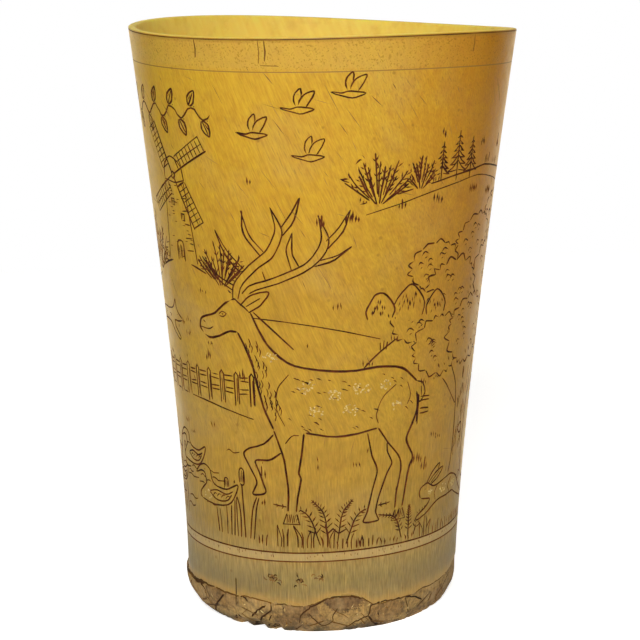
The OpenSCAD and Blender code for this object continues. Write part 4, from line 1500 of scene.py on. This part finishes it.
def uneven(tree, place, wide, detail=2.0, rough=0.5, squeeze=None):
    # unevenness with spots about this many mm wide; a place squeezed one way draws them out to streaks
    if squeeze:
        place = addNode(tree, "ShaderNodeVectorMath", {0: place, 1: squeeze}, operation="MULTIPLY")
    return addNode(tree, "ShaderNodeTexNoise", {"Vector": place, "Scale": 1 / wide, "Detail": detail,
                                                "Roughness": rough})


def ranged(tree, *parts):
    # the product of its parts: each a number, a node or socket, or one of these with the range over which it
    # goes from 0 to 1, or between the two further numbers
    result = None
    for part in parts:
        if isinstance(part, tuple):
            value, low, high, first, last = part + (0.0, 1.0)[len(part) - 3:]
            part = addNode(tree, "ShaderNodeMapRange", {"Value": value, 1: low, 2: high, 3: first, 4: last})
        if result is not None:
            part = addNode(tree, "ShaderNodeMath", {0: result, 1: part}, operation="MULTIPLY")
        result = part
    return result


def coat(tree, under, over, *parts, blend="MIX"):
    # lays one colour over another by the product of the parts; a colour is a hex text, a node, or a pattern
    # with the stops of its tones
    colours = []
    for colour in (under, over):
        if isinstance(colour, tuple):
            colour = addNode(tree, "ShaderNodeValToRGB", {0: colour[0]}, colour[1:])
        colours.append(colour)
    return addNode(tree, "ShaderNodeMix", {0: ranged(tree, *parts), 6: colours[0], 7: colours[1]},
                   data_type="RGBA", blend_type=blend)


# the bead of pitch: a quarter round swept along the corner between the disc and the wall, uneven as poured

bead = {                    # millimetres, degrees and colours
    "radius": 1.49, "wallLean": 9, "lumps": 0.34, "lumpWide": 4.5, "seed": 3.0, "turns": 160, "arcPoints": 9,
    "colour": "#1d0f08", "dust": "#4a3220", "dustWide": 2.2, "dustDepth": 0.15,
}
pitch, tree, shader, _ = newMaterial("brown pitch poured hot")
# nearly black with a brown cast, shining where it ran smooth and dull where dust has stuck
dusty = uneven(tree, placeInMm(tree), bead["dustWide"], 4, 0.6)
feed(tree, shader, {
    "Base Color": coat(tree, bead["colour"], bead["dust"], (dusty, 0.45, 0.7)),
    "Roughness": ranged(tree, (dusty, 0.4, 0.65, 0.28, 0.7)), "IOR": 1.58,
    "Normal": addNode(tree, "ShaderNodeBump",
                      {"Height": dusty, "Strength": 0.5, "Distance": bead["dustDepth"] * mm}),
})

sizesNow = {"Corner Radius": float(innerRadius(seatTop)) * mm, "Corner Height": seatTop * mm,
            "Bead Radius": bead["radius"] * mm, "Sweep": math.radians(90 + bead["wallLean"]),
            "Lean": math.radians(wall["lean"]), "Foot Shift": -footShift * mm, "Lumps": bead["lumps"],
            "Lump Width": bead["lumpWide"] * mm, "Seed": bead["seed"], "Finish": pitch}
group = bpy.data.node_groups.new("sweptBead", "GeometryNodeTree")
group.interface.new_socket("Geometry", in_out="INPUT", socket_type="NodeSocketGeometry")
for name in sizesNow:
    kind = "NodeSocketMaterial" if name == "Finish" else "NodeSocketFloat"
    group.interface.new_socket(name, in_out="INPUT", socket_type=kind)
group.interface.new_socket("Geometry", in_out="OUTPUT", socket_type="NodeSocketGeometry")
given = addNode(group, "NodeGroupInput").outputs
circle = addNode(group, "GeometryNodeCurvePrimitiveCircle", {"Resolution": bead["turns"],
                                                             "Radius": given["Corner Radius"]})
arc = addNode(group, "GeometryNodeCurveArc", {"Resolution": bead["arcPoints"], "Radius": given["Bead Radius"],
                                              "Start Angle": math.pi, "Sweep Angle": given["Sweep"],
                                              "Connect Center": True}, mode="RADIUS")
swept = addNode(group, "GeometryNodeCurveToMesh", {"Curve": circle, "Profile Curve": arc})
# each point is moved towards the corner or away from it, more or less from place to place
place = addNode(group, "GeometryNodeInputPosition")
flatPlace = addNode(group, "ShaderNodeVectorMath", {0: place, 1: (1, 1, 0)}, operation="MULTIPLY")
outward = addNode(group, "ShaderNodeVectorMath", {0: flatPlace}, operation="NORMALIZE")
corner = addNode(group, "ShaderNodeVectorMath", {0: outward, "Scale": given["Corner Radius"]},
                 operation="SCALE")
fromCorner = addNode(group, "ShaderNodeVectorMath", {0: place, 1: corner}, operation="SUBTRACT")
perMetre = addNode(group, "ShaderNodeMath", {0: 1.0, 1: given["Lump Width"]}, operation="DIVIDE")
lumps = addNode(group, "ShaderNodeTexNoise", {"Vector": flatPlace, "W": given["Seed"], "Scale": perMetre},
                noise_dimensions="4D")
shrink = addNode(group, "ShaderNodeMath", {0: lumps, 1: given["Lumps"]}, operation="MULTIPLY")
shrink = addNode(group, "ShaderNodeMath", {0: shrink, 1: -1.0}, operation="MULTIPLY")
offset = addNode(group, "ShaderNodeVectorMath", {0: fromCorner, "Scale": shrink}, operation="SCALE")
lumpy = addNode(group, "GeometryNodeSetPosition", {"Geometry": swept, "Offset": offset})
up = addNode(group, "ShaderNodeCombineXYZ", {"Z": given["Corner Height"]})
lifted = addNode(group, "GeometryNodeTransform", {"Geometry": lumpy, "Translation": up})
turn = addNode(group, "ShaderNodeCombineXYZ", {"Y": given["Lean"]})
back = addNode(group, "ShaderNodeCombineXYZ", {"X": given["Foot Shift"]})
leaning = addNode(group, "GeometryNodeTransform", {"Geometry": lifted, "Translation": back, "Rotation": turn})
real = addNode(group, "GeometryNodeRealizeInstances", {"Geometry": leaning})
coated = addNode(group, "GeometryNodeSetMaterial", {"Geometry": real, "Material": given["Finish"]})
addNode(group, "NodeGroupOutput", {"Geometry": coated})

pitchBead = bpy.data.objects.new("pitchBead", bpy.data.meshes.new("pitchBead"))
bpy.context.scene.collection.objects.link(pitchBead)
modifier = pitchBead.modifiers.new("swept bead", "NODES")
modifier.node_group = group
for item in group.interface.items_tree:
    if item.in_out == "INPUT" and item.name in sizesNow:
        modifier[item.identifier] = sizesNow[item.name]
sweptMesh = bpy.data.meshes.new_from_object(pitchBead.evaluated_get(bpy.context.evaluated_depsgraph_get()))
pitchBead.modifiers.clear()
pitchBead.data = sweptMesh
sweptMesh.polygons.foreach_set("use_smooth", np.ones(len(sweptMesh.polygons), bool))
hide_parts("pitch_bead")
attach(pitchBead, "root")


# the finishes

keratin = {"IOR": 1.54, "Subsurface Radius": (1.0, 0.65, 0.25)}    # red light goes furthest into horn

hornLook = {                # heights and sizes in mm, and colours
    # the horn's colour by height: its own tone, and partly painted light that makes it lighter and yellower
    # towards the thinner lip
    "bands": [(0, "#a68f60"), (7.5, "#a68f58"), (12, "#a48f54"), (15.8, "#a98f50"), (22, "#a58738"),
              (34, "#b69130"),
              (50, "#be982b"), (72, "#c39a28"), (92, "#cea427"), (108, "#d3aa2e"), (123, "#d6ae34")],
    "bandStray": 4.5,       # how far a band wanders up and down
    "betweenRules": "#cbb27c", "smoke": "#786a48", "glow": "#c29a50", "stain": "#a8742c", "fleck": "#8a6424",
    "dust": "#c0a878", "pore": "#7c4f1c", "rim": "#d4b054", "rimSpeck": "#8c6626",
    "paintedRightShade": "#eec738", "paintedRightShadeFrom": 10,
    "paintedRightShadeTo": 34,     # painted shade that darkens the right side to a deeper amber, where it begins and is full
    "inside": "#f0d464", "insideStain": "#c9962a", "lip": "#9a7426",
    "grainWide": 0.3, "grainLong": 2.6, "grainDepth": 0.04, "ribWide": 0.2, "ribLong": 3.4, "ribDepth": 0.12,
    "grainLean": 0.38, "grainUpright": 42,      # the grain's slope, and the height below which it is upright
    "rimSpeckWide": 0.35, "mottleWide": 2.4, "poreGap": 3.2, "stainWide": 4.5, "cloudWide": 17,
    "roughness": 0.35, "scatter": 2.0,
}
# the layers read here: the painted glow above the pared line, the lining, and the lip's darker edge
horn, tree, shader, worn = newMaterial("cattle horn scraped and hand polished", "glow", "inside", "lip")
# horn is layered keratin: light goes some way in, so edges glow and lines soften; the scraper leaves fine
# slanting grain, and upright ribs near the foot
inMm = placeInMm(tree)
places = addNode(tree, "ShaderNodeSeparateXYZ", {0: inMm}).outputs
upward, aside = places["Z"], places["X"]
clouds = uneven(tree, inMm, hornLook["cloudWide"], 3)
wander = addNode(tree, "ShaderNodeMath", {0: clouds, 1: 2 * hornLook["bandStray"], 2: -hornLook["bandStray"]},
                 operation="MULTIPLY_ADD")
strayed = addNode(tree, "ShaderNodeMath", {0: upward, 1: ranged(tree, wander, (upward, 18, 30))})
bandNow = addNode(tree, "ShaderNodeMix", {0: ranged(tree, (upward, 104, 114)), 2: strayed, 3: upward})
bandTop = hornLook["bands"][-1][0]
bandNow = addNode(tree, "ShaderNodeMath", {0: bandNow, 1: bandTop}, operation="DIVIDE")
base = addNode(tree, "ShaderNodeValToRGB", {0: bandNow},
               [(at / bandTop, colour) for at, colour in hornLook["bands"]])
above = addNode(tree, "ShaderNodeMath", {0: upward, 1: hornLook["grainUpright"]}, operation="SUBTRACT")
above = addNode(tree, "ShaderNodeMath", {0: above, 1: 0}, operation="MAXIMUM")
slanted = addNode(tree, "ShaderNodeMath", {0: above, 1: hornLook["grainLean"], 2: aside},
                  operation="MULTIPLY_ADD")
slanted = addNode(tree, "ShaderNodeCombineXYZ", {0: slanted, 1: places["Y"], 2: upward})
drawnOut = (1, 1, hornLook["grainWide"] / hornLook["grainLong"])
grain = uneven(tree, slanted, hornLook["grainWide"], 3, 0.6, drawnOut)
streaks = uneven(tree, slanted, 4 * hornLook["grainWide"], squeeze=drawnOut)
flecks = uneven(tree, slanted, 0.9 * hornLook["grainWide"], squeeze=drawnOut)
ribs = uneven(tree, inMm, hornLook["ribWide"], 2, 0.4, (1, 1, hornLook["ribWide"] / hornLook["ribLong"]))
ribbed = ranged(tree, (upward, 40, 15))
mottle = uneven(tree, inMm, hornLook["mottleWide"], 4, 0.6)
stains = uneven(tree, inMm, hornLook["stainWide"], 4, 0.6)
for tones, strength in (((grain, (0.3, 0.34), (0.7, 0.66)), 0.5), ((streaks, (0.3, 0.4), (0.7, 0.6)), 0.3),
                        ((mottle, (0.3, 0.36), (0.7, 0.64)), 0.3),
                        ((ribs, (0.38, 0.32), (0.62, 0.68)), ranged(tree, ribbed, 0.55))):
    base = coat(tree, base, tones, strength, blend="OVERLAY")
base = coat(tree, base, hornLook["fleck"], (flecks, 0.58, 0.7), (clouds, 0.4, 0.62, 0.2, 1), 0.5)
base = coat(tree, base, hornLook["stain"], (stains, 0.56, 0.8, 0, 0.35))
base = coat(tree, base, hornLook["dust"], (clouds, 0.5, 0.75, 0, 0.25))
# sparse amber specks where the polish has opened a pore
pores = addNode(tree, "ShaderNodeTexVoronoi", {"Vector": inMm, "Scale": 1 / hornLook["poreGap"]})
chosen = addNode(tree, "ShaderNodeSeparateXYZ", {0: pores.outputs["Color"]})
base = coat(tree, base, hornLook["pore"], (pores, 0.06, 0.14, 1, 0), (chosen, 0.6, 0.75), 0.45)
# the band between the lip and the rule below it: dark specks where it is scratched, and a paler tone as painted
# sheen
upSheet = addNode(tree, "ShaderNodeSeparateXYZ",
                  {0: addNode(tree, "ShaderNodeUVMap", uv_map="OFBake")}).outputs["Y"]
rule = (wall["sheetHeight"] - rules["belowLip"]) / wall["sheetHeight"] * sheetShare
rimTones = (uneven(tree, inMm, hornLook["rimSpeckWide"], 2), (0.33, hornLook["rimSpeck"]),
            (0.43, hornLook["rim"]))
base = coat(tree, base, rimTones, (upSheet, rule - 0.002, rule + 0.004, 0, 0.5))
# the smoky band above the foot, the paler, dusty one between the two rules, and painted shade that darkens the
# right side to a deeper amber
base = coat(tree, base, hornLook["smoke"], (upward, 7, 9.5), (upward, 15.6, 11),
            (clouds, 0.35, 0.6, 0.2, 0.65),
            (aside, 30, -34, 0.5, 0.8))
base = coat(tree, base, hornLook["betweenRules"], (upward, 15.75, 16.05), (upward, 17.95, 17.7), 0.5)
# painted shade: the right side is multiplied darker and more saturated, more strongly higher up
shadedRight = coat(tree, base, hornLook["paintedRightShade"], 1.0, blend="MULTIPLY")
base = coat(tree, base, shadedRight, (aside, hornLook["paintedRightShadeFrom"], hornLook["paintedRightShadeTo"]),
            (upward, 15, 80, 0.25, 1))
# the painted glow of light through the thin horn above the pared line, the lining with its painted light, and the
# lip's darker edge
paintedGlow = addNode(tree, "ShaderNodeValToRGB", {0: worn["glow"]}, [(0.0, 0.0), (0.7, 0.7)])
base = coat(tree, base, hornLook["glow"], paintedGlow, (stains, 0.3, 0.6, 0.4, 1))
# the lining: painted light, brighter and yellower than the outside, as if light came through the wall
paintedLitLining = coat(tree, hornLook["inside"], (streaks, (0.3, 0.4), (0.7, 0.6)), 0.5, blend="OVERLAY")
paintedLitLining = coat(tree, paintedLitLining, hornLook["insideStain"], (stains, 0.5, 0.75, 0, 0.4))
base = coat(tree, base, paintedLitLining, worn["inside"])
# the lip's outer edge, in a darker brown
base = coat(tree, base, hornLook["lip"], worn["lip"])
polish = ranged(tree, (mottle, 0.25, 0.75, hornLook["roughness"] - 0.06, hornLook["roughness"] + 0.14))
polish = addNode(tree, "ShaderNodeMath", {0: worn["inside"], 1: 0.25, 2: polish}, operation="MULTIPLY_ADD")
relief = addNode(tree, "ShaderNodeMath", {0: grain, 1: mottle})
relief = addNode(tree, "ShaderNodeBump",
                 {"Height": relief, "Strength": 0.5, "Distance": hornLook["grainDepth"] * mm})
relief = addNode(tree, "ShaderNodeBump", {"Height": ranged(tree, ribs, ribbed), "Strength": 0.6,
                                          "Distance": hornLook["ribDepth"] * mm, "Normal": relief})
feed(tree, shader, {**keratin, "Base Color": base, "Roughness": polish, "Normal": relief,
                    "Specular IOR Level": 0.32,
                    "Subsurface Weight": 1, "Subsurface Scale": hornLook["scatter"] * mm})

inkLook = {"deep": "#280e07", "side": "#642d10", "thin": "#9a6220", "patchWide": 1.5}
ink, tree, shader, cut = newMaterial("soot and tallow rubbed into the cuts", "deep", "load")
# matt, nearly black where it lies thick and red-brown where the horn shows through it
full = (cut["deep"], (0.0, inkLook["side"]), (0.5, inkLook["deep"]))
sparse = (cut["deep"], (0.0, inkLook["thin"]), (0.7, inkLook["side"]))
patches = uneven(tree, placeInMm(tree), inkLook["patchWide"], 3)
feed(tree, shader, {"Base Color": coat(tree, sparse, full, cut["load"], (patches, 0.35, 0.62, 0.3, 1.15)),
                    "Roughness": 0.7, "IOR": 1.5, "Specular IOR Level": 0.2})

crackLook = {"clean": "#8f6126", "side": "#6a4119", "deep": "#22140a"}
crack, tree, shader, cut = newMaterial("dirt in split horn", "deep", "load")
# dark brown in the split, with amber sides where the light comes through
full = (cut["deep"], (0.0, crackLook["side"]), (0.5, crackLook["deep"]))
feed(tree, shader, {"Base Color": coat(tree, crackLook["clean"], full, cut["load"]), "Roughness": 0.75,
                    "Specular IOR Level": 0.25})

scratchLook = {"clean": "#b58a3c", "dirty": "#6f481a"}
scratch, tree, shader, cut = newMaterial("horn raised by a scratch", "load")
# a scratch is amber where the horn is only torn and brown where dirt has settled in it
feed(tree, shader, {"Base Color": coat(tree, scratchLook["clean"], scratchLook["dirty"], cut["load"]),
                    "Roughness": 0.6})

stippledLook = {"clean": "#dcc684", "dirty": "#a5803c"}
stippled, tree, shader, cut = newMaterial("horn crushed by a punch", "load")
# pale and matt, because the crushed skin scatters the light; dirt stays in the deepest pricks
feed(tree, shader, {"Base Color": coat(tree, stippledLook["clean"], stippledLook["dirty"], cut["load"]),
                    "Roughness": 0.75, "IOR": keratin["IOR"]})

paredLook = {               # millimetres and colours
    "chips": ["#745630", "#9e7b43", "#ac8c4e", "#88683b"], "ridge": "#2e1c0e", "crust": "#34321f",
    "pale": "#c4a66e",
    "fibreWide": 0.34, "fibreLong": 2.4, "pitWide": 0.7, "pitDepth": 0.2, "patchWide": 4, "scatter": 0.6,
}
paredHorn, tree, shader, cut = newMaterial("horn pared with a knife and split", "chip", "ridge")
# the torn layers scatter light at the surface, so it is matt, tan or brown from chip to chip, and darker along
# the ridges between chips
inMm = placeInMm(tree)
places = addNode(tree, "ShaderNodeSeparateXYZ", {0: inMm}).outputs
chipStops = [(i / (len(paredLook["chips"]) - 1), colour) for i, colour in enumerate(paredLook["chips"])]
drawnOut = (1, 1, paredLook["fibreWide"] / paredLook["fibreLong"])
fibres = uneven(tree, inMm, paredLook["fibreWide"], 3, 0.6, drawnOut)
pits = uneven(tree, inMm, paredLook["pitWide"], 4, 0.65)
patches = uneven(tree, inMm, paredLook["patchWide"], 3)
base = coat(tree, (cut["chip"], *chipStops), (fibres, (0.38, 0.28), (0.62, 0.7)), 0.5, blend="OVERLAY")
base = coat(tree, base, (pits, (0.36, 0.2), (0.64, 0.74)), 0.55, blend="OVERLAY")
base = coat(tree, base, paredLook["pale"], (patches, 0.5, 0.72, 0, 0.55))
base = coat(tree, base, paredLook["ridge"], cut["ridge"], (pits, 0.3, 0.6, 0.9, 0.35))
base = coat(tree, base, paredLook["crust"], (places["Z"], 3.2, 0.6), (patches, 0.42, 0.58, 1, 0),
            (places["X"], 12, 2), 0.85)
torn = addNode(tree, "ShaderNodeMath", {0: fibres, 1: pits})
relief = addNode(tree, "ShaderNodeBump",
                 {"Height": torn, "Strength": 0.9, "Distance": paredLook["pitDepth"] * mm})
feed(tree, shader, {"Base Color": base, "Roughness": 0.72, "Normal": relief, "IOR": keratin["IOR"],
                    "Subsurface Weight": 0.35, "Subsurface Radius": (1.0, 0.6, 0.3),
                    "Subsurface Scale": paredLook["scatter"] * mm})

# in the order of the numbers that the wall's faces carry: bare horn, then the kinds of cut, then pared horn
for material in (horn, ink, crack, scratch, stippled, paredHorn):
    mesh.materials.append(material)

discLook = {                # millimetres and colours
    "horn": "#cf9f48", "dark": "#a8762f", "dirt": "#4a341c",
    "grainWide": 0.6, "grainLong": 14, "scrape": 0.05, "patchWide": 9, "scatter": 1.6,
    "across": -4.1,         # where the disc's middle lies
    "cleanTo": 17, "dirtyFrom": 23.5, "dirtStray": 3.5,     # radii of the dirt, and how far they wander
}
plate, tree, shader, _ = newMaterial("cattle horn plate scraped flat")
# its grain runs straight across, and dirt has gathered where it meets the wall
inMm = placeInMm(tree)
drawnOut = (discLook["grainWide"] / discLook["grainLong"], 1, 1)
grain = uneven(tree, inMm, discLook["grainWide"], 3, 0.6, drawnOut)
patches = uneven(tree, inMm, discLook["patchWide"], 3)
base = coat(tree, discLook["horn"], discLook["dark"], (patches, 0.35, 0.7))
base = coat(tree, base, (grain, (0.35, 0.35), (0.65, 0.65)), 0.35, blend="OVERLAY")
fromMiddle = addNode(tree, "ShaderNodeVectorMath", {0: inMm, 1: (-discLook["across"], 0, 0)}, operation="ADD")
fromMiddle = addNode(tree, "ShaderNodeVectorMath", {0: fromMiddle, 1: (1, 1, 0)}, operation="MULTIPLY")
reach = addNode(tree, "ShaderNodeVectorMath", {0: fromMiddle}, operation="LENGTH")
reach = addNode(tree, "ShaderNodeMath", {0: patches, 1: 2 * discLook["dirtStray"], 2: reach},
                operation="MULTIPLY_ADD")
base = coat(tree, base, discLook["dirt"], (reach, discLook["cleanTo"] + discLook["dirtStray"],
                                           discLook["dirtyFrom"] + discLook["dirtStray"], 0, 0.85))
relief = addNode(tree, "ShaderNodeBump",
                 {"Height": grain, "Strength": 0.5, "Distance": discLook["scrape"] * mm})
feed(tree, shader, {**keratin, "Base Color": base, "Roughness": ranged(tree, (patches, 0.3, 0.7, 0.35, 0.6)),
                    "Normal": relief, "Subsurface Weight": 1, "Subsurface Scale": discLook["scatter"] * mm})
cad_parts["base_disc"].data.materials.clear()
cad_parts["base_disc"].data.materials.append(plate)

low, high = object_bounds()
